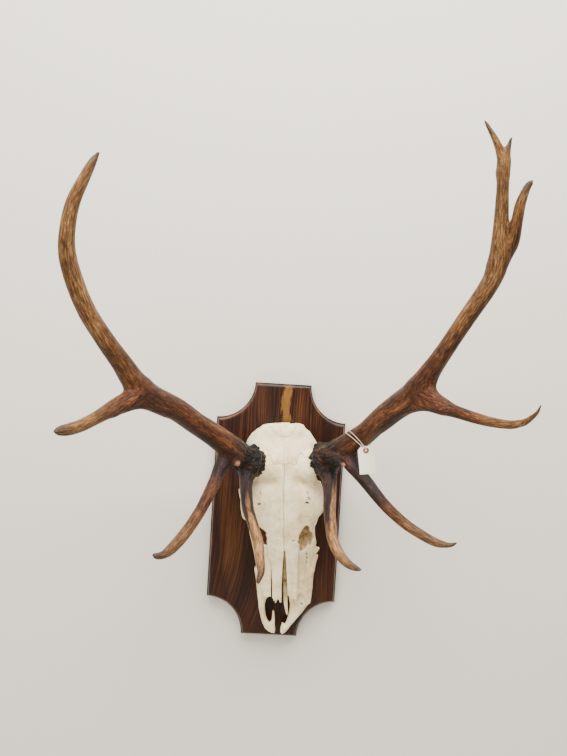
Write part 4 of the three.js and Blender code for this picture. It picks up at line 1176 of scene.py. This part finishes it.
# each colour's ramp from dark to light, with its place on it
boneInk = {
    "plain": [(0.30, (0.66, 0.48, 0.235)), (0.46, (0.85, 0.70, 0.41)), (0.58, (0.94, 0.83, 0.56)),
              (0.78, (0.97, 0.91, 0.71))],
    # painted shade for the hollows and the sides
    "hollowShade": [(0.3, (0.44, 0.29, 0.12)), (0.7, (0.70, 0.53, 0.28))],
    # painted shade for the deep places
    "depth": [(0.3, (0.16, 0.08, 0.03)), (0.7, (0.46, 0.29, 0.12))],
    "septum": [(0.3, (0.36, 0.22, 0.08)), (0.7, (0.62, 0.44, 0.20))],
    "pit": [(0.30, (0.18, 0.10, 0.045)), (0.52, (0.42, 0.28, 0.13)), (0.75, (0.62, 0.50, 0.32))],
    "raw": [(0.30, (0.045, 0.012, 0.008)), (0.60, (0.19, 0.070, 0.030)), (0.80, (0.38, 0.20, 0.08))],
    "tooth": [(0.3, (0.36, 0.22, 0.09)), (0.7, (0.80, 0.70, 0.50))],
    "clot": (0.16, 0.060, 0.018, 1),
    "seam": (0.20, 0.145, 0.075, 1),
    # painted shade inside the openings
    "hole": (0.020, 0.010, 0.005, 1),
}


def boneMaterial():
    # clean bone under stains and painted shade, each as strong as its mask, with the seams drawn over them
    material, n, shader = newMaterial("bone", Specular_IOR_Level=0.28)
    place = n.vector("place")
    mottle = n.noise(place, 80.0, 4.0, 0.6)
    tone = n.plus(n.times(n.noise(place, 20.0), 0.55), n.times(mottle, 0.45))
    colour = n.ramp(tone, boneInk["plain"])
    # painted shade in the hollows and the deep places, then the septum's own tan
    for name, strength in (("hollowShade", 0.62), ("depth", 0.7), ("septum", 0.8)):
        colour = n.layer(colour, n.mask(name), strength, n.ramp(mottle, boneInk[name]))
    colour = n.layer(colour, n.mask("clot"), 0.8, boneInk["clot"])

    # seams: dark where the signed distance, pushed to and fro so that they zigzag, is near nought
    waver = n.sway(n.noise(place, 240.0, 2.0), 7.0)
    marks = 0.0
    for gap, show in zip(n.split(n.vector("seamGap")), n.split(n.vector("seamShow"))):
        near = n.math("ABSOLUTE", n.plus(gap, waver))
        near = n.minus(1.0, n.times(near, 0.55), clamp=True)
        marks = n.math("MAXIMUM", n.times(near, show), marks)
    marks = n.times(marks, n.plus(n.times(mottle, 1.6), 0.1, clamp=True))
    colour = n.mix(marks, colour, boneInk["seam"])
    for name, scale in (("pit", 170.0), ("raw", 210.0)):
        colour = n.mix(n.mask(name), colour, n.ramp(n.noise(place, scale, 4.0), boneInk[name]))
    # painted shade inside the openings
    colour = n.layer(colour, n.mask("hole"), 0.95, boneInk["hole"])
    colour = n.layer(colour, n.mask("tooth"), 0.8, n.ramp(mottle, boneInk["tooth"]))
    relief = n.minus(n.times(mottle, 0.6), n.times(marks, 1.2))
    grain = n.group(fineGrain, Place=place, Scale=800.0, Relief=relief, Share=0.4, Strength=0.45, Distance=0.0010)
    cover(n, shader, colour, n.plus(n.times(grain.outputs["Grain"], 0.25), 0.5), grain)
    return material


bone = dressSkull()
finishPiece(bone, ["skull"], boneMaterial())
report(f"skull, {len(bone.data.polygons)} faces")


plaque = {
    "width": 280.0, "height": 550.0, "scoop": 79.0, "arcSteps": 28,
    # the moulded edge from the back to the front: inset, depth below the back face
    "edge": [(0.8, 0.0), (0.0, 0.8), (0.0, 9.3), (0.7, 10.0), (2.4, 10.0), (3.0, 10.6), (3.0, 14.0), (3.35, 15.75),
             (4.3, 17.35), (5.7, 18.4), (7.4, 18.9), (9.0, 19.0)],
    "hangerZ": 190.0, "hangerWidth": 22.0, "hangerLength": 66.0, "recess": 2.2, "gap": 0.3,
    "pocket": (16.0, 32.0, 9.0), "hangerScrewPitch": 52.0,
    "skullScrewsZ": (222.0, 398.0),
    # bores as radius and depth: countersunk ones for the skull's screws, blind ones for the hanger's
    "skullBore": ((4.9, 0), (4.9, 0.9), (2.6, 3.6), (2.6, 19)),
    "hangerBore": ((1.85, 2.2), (1.85, 11.5)),
}


def atDepth(x, z, depth):
    # places across and up the plaque, all at one depth below its back face
    return np.stack([x, np.full(len(x), -depth), z], axis=-1)


def plaqueLoop(inset, depth):
    # the outline drawn in by the inset: an upright board with each corner scooped out by an arc
    # about the corner itself, so that the arc's radius grows by the inset
    radius = plaque["scoop"] + inset
    start = math.asin(inset / radius)
    rows = []
    for i, (sx, sz) in enumerate(((1, 1), (-1, 1), (-1, -1), (1, -1))):
        turn = np.linspace(1.5 * math.pi - start, math.pi + start, plaque["arcSteps"] + 1) + i * math.pi / 2
        rows.append(atDepth(sx * plaque["width"] / 2 + radius * np.cos(turn),
                            sz * plaque["height"] / 2 + radius * np.sin(turn), depth))
    return np.concatenate(rows)


def circleLoop(x, z, radius, depth, steps=28):
    # a circle in equal steps
    turn = np.linspace(0, 2 * math.pi, steps, endpoint=False)
    return atDepth(x + radius * np.cos(turn), z + radius * np.sin(turn), depth)


def stadiumLoop(z, width, length, depth, steps=16):
    # two half circles joined by straight sides
    half, reach = width / 2, (length - width) / 2
    turn = np.linspace(0, math.pi, steps + 1)
    upper = atDepth(half * np.cos(turn), z + reach + half * np.sin(turn), depth)
    return np.concatenate([upper, upper * (-1, 1, -1) + (0, 0, 2 * z)])


def boxLoop(z, width, length, depth):
    # an upright rectangle about the height z
    w, h = width / 2, length / 2
    return np.array([(w, -depth, z - h), (w, -depth, z + h), (-w, -depth, z + h), (-w, -depth, z - h)])


class Shell:
    # gathers loops, the walls between them and the flat faces that they bound
    def __init__(self):
        self.loops, self.faces, self.count = [], [], 0

    def loop(self, points):
        ring = np.arange(self.count, self.count + len(points))
        self.loops.append(np.asarray(points, float))
        self.count += len(points)
        return ring

    def walls(self, rings, closed=False):
        # between each ring and the next, and from the last to the first when closed
        for a, b in zip(rings, rings[1:] + rings[:1] if closed else rings[1:]):
            self.faces += [tuple(quad) for quad in np.stack([a, np.roll(a, -1), np.roll(b, -1), b], axis=-1)]

    def flat(self, *rings):
        # a face bounded by the first ring, with the others as holes in it
        points = np.concatenate(self.loops)
        flat = [[Vector((points[i][0], points[i][2], 0)) for i in ring] for ring in rings]
        numbers = np.concatenate(rings)
        self.faces += [tuple(int(numbers[i]) for i in face) for face in tessellate_polygon(flat)]

    def piece(self, name, toMetres=lambda p: p * mm):
        # joined where points meet, its faces turned outwards and its edges sharp above 32 degrees
        mesh = bpy.data.meshes.new(name)
        points = toMetres(np.concatenate(self.loops)).tolist()
        mesh.from_pydata(points, [], [[int(i) for i in face] for face in self.faces])
        shape = bmesh.new()
        shape.from_mesh(mesh)
        bmesh.ops.remove_doubles(shape, verts=shape.verts, dist=1e-6)
        bmesh.ops.recalc_face_normals(shape, faces=shape.faces)
        shape.to_mesh(mesh)
        shape.free()
        mesh.polygons.foreach_set("use_smooth", np.ones(len(mesh.polygons), bool))
        mesh.set_sharp_from_angle(angle=math.radians(32))
        made = bpy.data.objects.new(name, mesh)
        bpy.context.scene.collection.objects.link(made)
        return made


def plaqueShape():
    # the moulded edge as walls between loops, the two flat faces, and the bores and the recess in them
    shell = Shell()
    edge = [shell.loop(plaqueLoop(inset, depth)) for inset, depth in plaque["edge"]]
    shell.walls(edge)

    # bores for the screws into the skull, from the back face through to the front
    back, front = [], []
    for z in plaque["skullScrewsZ"]:
        x, _, height = toRow([[0, 0, z]])[0] / mm
        bore = [shell.loop(circleLoop(x, height, radius, depth)) for radius, depth in plaque["skullBore"]]
        shell.walls(bore)
        back.append(bore[0])
        front.append(bore[-1])

    # the recess for the hanger, with its pocket and the two blind screw bores
    z, gap, recess = plaque["hangerZ"], plaque["gap"], plaque["recess"]
    width, length = plaque["hangerWidth"] + 2 * gap, plaque["hangerLength"] + 2 * gap
    mouth, floor = (shell.loop(stadiumLoop(z, width, length, depth)) for depth in (0, recess))
    shell.walls([mouth, floor])
    width, length, bottom = plaque["pocket"]
    pocket = [shell.loop(boxLoop(z, width, length, depth)) for depth in (recess, bottom)]
    shell.walls(pocket)
    shell.flat(pocket[1])
    blind = []
    for side in (-1, 1):
        height = z + side * plaque["hangerScrewPitch"] / 2
        bore = [shell.loop(circleLoop(0, height, radius, depth)) for radius, depth in plaque["hangerBore"]]
        shell.walls(bore)
        shell.flat(bore[1])
        blind.append(bore[0])
    shell.flat(floor, pocket[0], *blind)
    shell.flat(edge[0], mouth, *back)
    shell.flat(edge[-1], *front)
    return shell.piece("plaque_board")


wood = {
    "ink": [(0.15, (0.0058, 0.0014, 0.0005)), (0.38, (0.0165, 0.0038, 0.0011)), (0.60, (0.043, 0.0102, 0.0024)),
            (0.90, (0.120, 0.036, 0.0082))],
    "amber": [(0.2, (0.050, 0.0135, 0.0025)), (0.8, (0.185, 0.072, 0.014))],
    "streak": [(0.3, (0.105, 0.040, 0.0065)), (0.7, (0.26, 0.12, 0.024))],
    "edge": [(0.30, (0.005, 0.0032, 0.0030)), (0.46, (0.020, 0.0095, 0.0055)), (0.62, (0.12, 0.046, 0.0095))],
    "strip": [(0.30, (0.10, 0.036, 0.0070)), (0.70, (0.27, 0.115, 0.026))],
    # noises drawn out along the grain: changes a metre across it and along it, detail and roughness
    "sway": (11.0, 3.0, 2.0, 0.55), "lines": (300.0, 3.5, 3.0, 0.6), "bands": (42.0, 2.2, 2.0, 0.55),
    "rays": (700.0, 9.0, 2.0, 0.6), "fray": (330.0, 40.0, 4.0, 0.65),
    # where the stain took thinly: centre, half sizes and strength
    "patches": [((-0.088, -0.075), (0.020, 0.090), 0.62), ((0.093, -0.185), (0.022, 0.06), 0.35),
                ((-0.112, 0.02), (0.012, 0.08), 0.35), ((-0.045, 0.235), (0.012, 0.04), 0.25),
                ((0.04, 0.225), (0.012, 0.045), 0.3)],
}


def plaqueMaterial():
    # a tone of lines, bands, pores and rays along the grain picks the stain's colour, and patches,
    # the knot's streak, the moulded edge and the pale side are laid over it
    material, n, shader = newMaterial("stained wood", Specular_IOR_Level=0.22, Coat_Roughness=0.15)
    x, y, z = n.split(n.object())

    def drawn(name, across):
        often, along, detail, rough = wood[name]
        return n.noise(n.combine(n.times(across, often), 0.0, n.times(z, along)), 1.0, detail, rough)

    # the grain runs upright, leaning to the right of upright below the skull's left side
    low = n.math("MINIMUM", n.plus(z, 0.04), 0.0)
    left = n.minus(0.5, n.times(x, 9.0), clamp=True)
    lean = n.times(n.times(n.times(low, low), left), 0.85)
    u = n.plus(n.plus(x, lean), n.sway(drawn("sway", x), 0.028))
    lines, bands, rays = (drawn(name, u) for name in ("lines", "bands", "rays"))
    along = n.combine(n.times(u, 1500.0), n.times(y, 400.0), n.times(z, 40.0))
    grain = n.group(fineGrain, Place=along, Scale=1.0, Relief=n.times(lines, 0.6), Share=0.6, Strength=0.3,
                    Distance=0.0006)
    pores = grain.outputs["Grain"]
    tone = n.tone(0.42, ((lines, 1.5), (bands, 0.5), (pores, 0.45), (rays, 0.6)))
    colour = n.ramp(tone, wood["ink"])
    amber = n.ramp(tone, wood["amber"])
    for centre, size, strength in wood["patches"]:
        across, up = (n.math("DIVIDE", n.minus(value, c), h) for value, c, h in zip((x, z), centre, size))
        far = n.plus(n.times(across, across), n.times(up, up))
        far = n.plus(far, n.sway(bands, 2.4))
        colour = n.layer(colour, n.minus(1.0, n.times(far, 0.6), clamp=True), strength, amber)

    # the pale streak beside a knot near the top, its sides frayed along the grain
    sway = n.times(n.math("SINE", n.times(z, 88.0)), 0.0028)
    across = n.math("DIVIDE", n.plus(n.minus(x, 0.0088), sway), 0.0098)
    across = n.plus(n.math("ABSOLUTE", across), n.sway(drawn("fray", x), 2.6))
    inside = n.times(n.minus(1.05, across), 5.0, clamp=True)
    inside = n.times(inside, n.times(n.minus(z, 0.186), 60.0, clamp=True))
    colour = n.layer(colour, inside, 0.9, n.ramp(pores, wood["streak"]))

    # stain gathers nearly black on the moulded edge, and is rubbed golden in places
    edge = n.times(n.plus(y, 0.0184), 1400.0, clamp=True)
    colour = n.layer(colour, edge, 0.9, n.ramp(n.noise(n.object(), 16.0, 2.0), wood["edge"]))
    # the square upright sides below the moulding are painted golden, a painted highlight
    strip = n.times(n.plus(y, 0.0098), 2000.0, clamp=True)
    upright = n.times(n.minus(n.math("ABSOLUTE", x), 0.1385), 1500.0, clamp=True)
    colour = n.layer(colour, n.times(strip, upright), 0.9, n.ramp(lines, wood["strip"]))
    n.join(n.plus(n.times(edge, 0.75), 0.06), shader.inputs["Coat Weight"])
    cover(n, shader, colour, n.plus(n.times(pores, 0.25), 0.30), grain)
    return material


board = plaqueShape()
finishPiece(board, ["plaque"], plaqueMaterial())
report("plaque")


hanger = {
    "back": 0.3, "thickness": 1.6, "headRadius": 5.0, "slotRadius": 2.4, "slotLength": 14.0, "round": 0.3,
    "bore": ((3.5, 0.3), (3.5, 0.9), (2.2, 1.7), (2.2, 1.9)),
}


def keyholeLoop(grow, depth, steps=20):
    # the big arc of the head's hole, then the half circle that ends the slot above it
    head, slot = hanger["headRadius"] + grow, hanger["slotRadius"] + grow
    meet = math.asin(slot / head)
    big = np.linspace(math.pi / 2 + meet, 2.5 * math.pi - meet, steps + 1)
    small = np.linspace(0, math.pi, steps // 2 + 1)
    z, reach = plaque["hangerZ"], hanger["slotLength"] / 2
    x = np.concatenate([head * np.cos(big), slot * np.cos(small)])
    height = np.concatenate([z - reach + head * np.sin(big), z + reach + slot * np.sin(small)])
    return atDepth(x, height, depth)


def hangerShape():
    # a plate with rounded edges, whose rim, keyhole and bores all run through its four levels
    shell = Shell()
    r, back = hanger["round"], hanger["back"]
    front = back + hanger["thickness"]
    z, width, length = plaque["hangerZ"], plaque["hangerWidth"], plaque["hangerLength"]
    levels = [(r, back), (0, back + r), (0, front - r), (r, front)]
    through = [[shell.loop(stadiumLoop(z, width - 2 * inset, length - 2 * inset, depth)) for inset, depth in levels],
               [shell.loop(keyholeLoop(inset, depth)) for inset, depth in levels]]
    for side in (-1, 1):
        height = z + side * plaque["hangerScrewPitch"] / 2
        through.append([shell.loop(circleLoop(0, height, radius, depth)) for radius, depth in hanger["bore"]])
    for rings in through:
        shell.walls(rings)
    for level in (0, -1):
        shell.flat(*[rings[level] for rings in through])
    return shell.piece("hanger_plate_fine")


screws = {
    "hanger": {"head": 3.2, "shank": 1.5, "cone": 1.7, "length": 11.0, "slot": 0.5},
    "skull": {"head": 4.6, "shank": 2.3, "cone": 3.0, "length": 52.0, "slot": 0.7},
    "sink": 0.5,
}


def screwShape(name, setup, x, z):
    # a turned profile: a countersunk head with a shallow dished drive, a shank with a thread that
    # swells and shrinks along it, and a point
    head, shank, length = setup["head"], setup["shank"], setup["length"]
    along = np.linspace(setup["cone"], length - 3, int((length - 3) / 0.45))
    thread = [(shank * (0.93 + 0.07 * math.cos(depth * 5.2)), depth) for depth in along]
    profile = [(0.02, 1.0), (setup["slot"] * 1.6, 0.9), (setup["slot"] * 2.4, 0.0), (head - 0.2, 0.0), (head, 0.2),
               (head, 0.45), *thread, (shank * 0.5, length - 1.2), (0.02, length)]
    shell = Shell()
    rings = [shell.loop(circleLoop(x, z, radius, depth + screws["sink"], 20)) for radius, depth in profile]
    shell.walls(rings)
    shell.flat(rings[0])
    shell.flat(rings[-1])
    return shell.piece(name)


def steelMaterial():
    # plain metal, its colour and gloss clouded by the fine grain
    material, n, shader = newMaterial("zinc steel", Metallic=1.0)
    grain = n.group(fineGrain, Place=n.object(), Scale=420.0, Strength=0.2, Distance=0.0003)
    cloud = grain.outputs["Grain"]
    colour = n.ramp(cloud, [(0.3, (0.42, 0.42, 0.40)), (0.7, (0.66, 0.66, 0.63))])
    cover(n, shader, colour, n.plus(n.times(cloud, 0.3), 0.2), grain)
    return material


steel = steelMaterial()
finishPiece(hangerShape(), ["hanger_plate"], steel)
for number, side in enumerate((-1, 1), 1):
    height = plaque["hangerZ"] + side * plaque["hangerScrewPitch"] / 2
    screw = screwShape(f"hanger_screw_fine_{number}", screws["hanger"], 0, height)
    finishPiece(screw, [f"hanger_screw_{number}"], steel)
for number, z in enumerate(plaque["skullScrewsZ"], 1):
    x, _, height = toRow([[0, 0, z]])[0] / mm
    screw = screwShape(f"skull_screw_fine_{number}", screws["skull"], x, height)
    finishPiece(screw, [f"skull_screw_{number}"], steel)
report("hanger and screws")


tag = {
    "hole": (146.4, 216.0, 417.5), "lean": math.radians(5.2),
    "width": 30.0, "height": 51.0, "clip": 6.0, "thickness": 0.5, "holeDrop": 7.5, "holeRadius": 3.2,
    "curl": 0.0016, "twist": 0.00035,
    "patchInner": 2.1, "patchOuter": 5.5, "patchThickness": 0.3, "patchGap": 0.25,
}


def tagPlace(points):
    # from the tag's own frame, its hole at the origin, x across, y into the wall and z up, to the
    # row's: a lean in the skull's frame, then the skull's own place
    c, s = math.cos(tag["lean"]), math.sin(tag["lean"])
    x, y, z = points.T
    hx, hout, hz = tag["hole"]
    return toRow(np.stack([hx + x * c - z * s, hout - y, hz + x * s + z * c], axis=-1))


def tagBend(x, z):
    # a slight roll across the card and a slight twist along it
    return tag["curl"] * x ** 2 * ramp(-z, -2, 12) + tag["twist"] * x * z


def tagShape():
    # rings from the hole out to the card's edge, each a share of the way along the straight lines
    # between them; two such sheets and the strips that join them at the hole and the edge
    half, top = tag["width"] / 2, tag["holeDrop"]
    foot, clip = top - tag["height"], tag["clip"]
    corners = np.array([(half, foot), (half, top - clip), (half - clip, top), (clip - half, top),
                        (-half, top - clip), (-half, foot), (half, foot)], float)
    rim = np.concatenate([np.linspace(a, b, 14, endpoint=False) for a, b in zip(corners, corners[1:])])
    angle = np.arctan2(rim[:, 1], rim[:, 0])
    hole = tag["holeRadius"] * np.stack([np.cos(angle), np.sin(angle)], axis=-1)
    shell = Shell()
    shares = np.linspace(0, 1, 15)
    sheets = []
    for face, order in ((-1, shares), (1, shares[::-1])):
        for share in order:
            x, z = (hole + (rim - hole) * share).T
            sheets.append(shell.loop(np.stack([x, tagBend(x, z) + face * tag["thickness"] / 2, z], axis=-1)))
    shell.walls(sheets, closed=True)
    return shell.piece("card_tag", tagPlace)


def patchShape():
    # a ring on each face of the card, joined through the hole: the profile is turned about the hole
    inner, outer = tag["patchInner"], tag["patchOuter"]
    near = tag["thickness"] / 2 + tag["patchGap"]
    far = near + tag["patchThickness"]
    neck = inner + tag["patchThickness"]
    profile = [(inner, -far + 0.1), (inner + 0.1, -far), (outer - 0.1, -far), (outer, -far + 0.1), (outer, -near),
               (neck, -near), (neck, near), (outer, near), (outer, far - 0.1), (outer - 0.1, far),
               (inner + 0.1, far), (inner, far - 0.1)]
    shell = Shell()
    shell.walls([shell.loop(circleLoop(0, 0, radius, -y, 48)) for radius, y in profile], closed=True)
    return shell.piece("tag_patch_fine", tagPlace)


# the thread's route on the skull's frame in metres: from the tag's hole over the beam, twice round
# it and back to the hole
threadRoute = [
    (0.1469, 0.2142, 0.4170), (0.1462, 0.2179, 0.4194), (0.1405, 0.2180, 0.4240), (0.1335, 0.2145, 0.4295),
    (0.1265, 0.2096, 0.4360), (0.1195, 0.2025, 0.4420), (0.1123, 0.1810, 0.4480), (0.1256, 0.1680, 0.4505),
    (0.1420, 0.1645, 0.4425), (0.1530, 0.1725, 0.4290), (0.1530, 0.1890, 0.4195), (0.1444, 0.2036, 0.4198),
    (0.1380, 0.2105, 0.4242), (0.1370, 0.2136, 0.4275), (0.1420, 0.2135, 0.4270), (0.1510, 0.2070, 0.4238),
    (0.1580, 0.1940, 0.4243), (0.1580, 0.1775, 0.4337), (0.1470, 0.1695, 0.4470), (0.1310, 0.1735, 0.4555),
    (0.1178, 0.1860, 0.4530), (0.1245, 0.2068, 0.4460), (0.1315, 0.2136, 0.4385), (0.1380, 0.2166, 0.4310),
    (0.1432, 0.2183, 0.4246), (0.1476, 0.2179, 0.4192), (0.1476, 0.2142, 0.4169),
]
thread = {"diameter": 0.0012, "sides": 14, "step": 0.0006, "plies": 3, "pitch": 0.0032, "plyDepth": 0.07}


def threadShape():
    # a tube along the route whose section has a lobe for each ply, turned steadily along it
    line = threadLine([[*(np.array(p) / mm), 0.6] for p in threadRoute], thread["step"] / mm)
    turn = np.linspace(0, 2 * math.pi, thread["sides"], endpoint=False)
    swirl = line["along"][:, None] / (thread["pitch"] / mm) * 2 * math.pi
    lobes = np.cos(thread["plies"] * turn[None] - swirl)
    reach = thread["diameter"] / mm / 2 * (1 - thread["plyDepth"] + thread["plyDepth"] * lobes)
    rings = (line["at"][:, None] + reach[..., None] * (np.cos(turn)[None, :, None] * line["across"][:, None]
                                                       + np.sin(turn)[None, :, None] * line["beside"][:, None]))
    shell = Shell()
    loops = [shell.loop(ring) for ring in rings]
    shell.walls(loops)
    for end in (0, -1):
        shell.faces.append(tuple(loops[end]))
    piece = shell.piece("tag_string", toRow)
    return piece, toRow(line["at"]), line["along"][-1] * mm


# dark and light of the fibres, how fine they are, and the roughness
paperInk = {
    "card": ((0.93, 0.86, 0.66), (0.97, 0.93, 0.78), 260.0, 0.85),
    "patch": ((0.15, 0.034, 0.030), (0.30, 0.095, 0.080), 900.0, 0.85),
    "cotton": ((0.40, 0.36, 0.31), (0.62, 0.58, 0.52), 1600.0, 0.95),
}


def paperMaterial(name):
    # fibres between two colours, picked by the fine grain
    dark, light, scale, rough = paperInk[name]
    material, n, shader = newMaterial(name, Specular_IOR_Level=0.3)
    grain = n.group(fineGrain, Place=n.object(), Scale=scale, Strength=0.25, Distance=0.0002)
    cover(n, shader, n.ramp(grain.outputs["Grain"], [(0.3, dark), (0.7, light)]), rough, grain)
    return material


card = tagShape()
finishPiece(card, ["tag"], paperMaterial("card"))
collar = patchShape()
finishPiece(collar, ["tag_patch"], paperMaterial("patch"))
string, path, length = threadShape()
finishPiece(string, ["tag_thread"], paperMaterial("cotton"))
tuple(path[0])
report(f"tag, and its thread of {length * 1000:.0f} mm")


room = {
    "wall": [(-4, 0.012, -2), (4, 0.012, -2), (4, 0.012, 4), (-4, 0.012, 4)],
    "floor": [(-4, -5, -1.3), (4, -5, -1.3), (4, 0.012, -1.3), (-4, 0.012, -1.3)],
    "paint": (0.735, 0.70, 0.63, 1),
    "glow": (1.0, 0.97, 0.93, 1), "glowStrength": 0.30,
}
lamps = {
    "ceiling": {"place": (0.1, -1.7, 2.3), "aim": (0, -0.1, 0.1), "size": (2.6, 1.6), "power": 225,
                "colour": (1, 0.97, 0.92)},
    "front": {"place": (-1.3, -2.6, 1.0), "aim": (0, 0, 0.1), "size": (1.8, 1.8), "power": 46,
              "colour": (1, 0.98, 0.95)},
}


def addBackdrop():
    # a pale wall behind the plaque, clear when seen from behind, and a floor well below it
    for name in ("wall", "floor"):
        sheet = addMesh(name, room[name], [(0, 1, 2, 3)], smooth=False)
        material, n, shader = newMaterial(name, Roughness=0.9, Base_Color=room["paint"])
        behind = n.add("ShaderNodeNewGeometry").outputs["Backfacing"]
        clear = n.add("ShaderNodeBsdfTransparent").outputs[0]
        seen = n.add("ShaderNodeMixShader", {0: behind, 1: shader.outputs[0], 2: clear})
        n.join(seen.outputs[0], material.node_tree.nodes["Material Output"].inputs["Surface"])
        sheet.data.materials.append(material)


def addLamp(name, lamp):
    # an area light turned so that its own minus z runs from its place to its aim
    data = bpy.data.lights.new(name, "AREA")
    data.shape = "RECTANGLE"
    data.size, data.size_y = lamp["size"]
    data.energy, data.color = lamp["power"], lamp["colour"]
    light = bpy.data.objects.new(name, data)
    light.location = lamp["place"]
    ahead = Vector(lamp["aim"]) - Vector(lamp["place"])
    light.rotation_euler = ahead.to_track_quat("-Z", "Y").to_euler()
    bpy.context.scene.collection.objects.link(light)


addBackdrop()
for name, lamp in lamps.items():
    addLamp(name, lamp)
world = bpy.data.worlds.new("room")
world.use_nodes = True
glow = world.node_tree.nodes["Background"]
glow.inputs["Color"].default_value = room["glow"]
glow.inputs["Strength"].default_value = room["glowStrength"]
bpy.context.scene.world = world

report("light and backdrop")
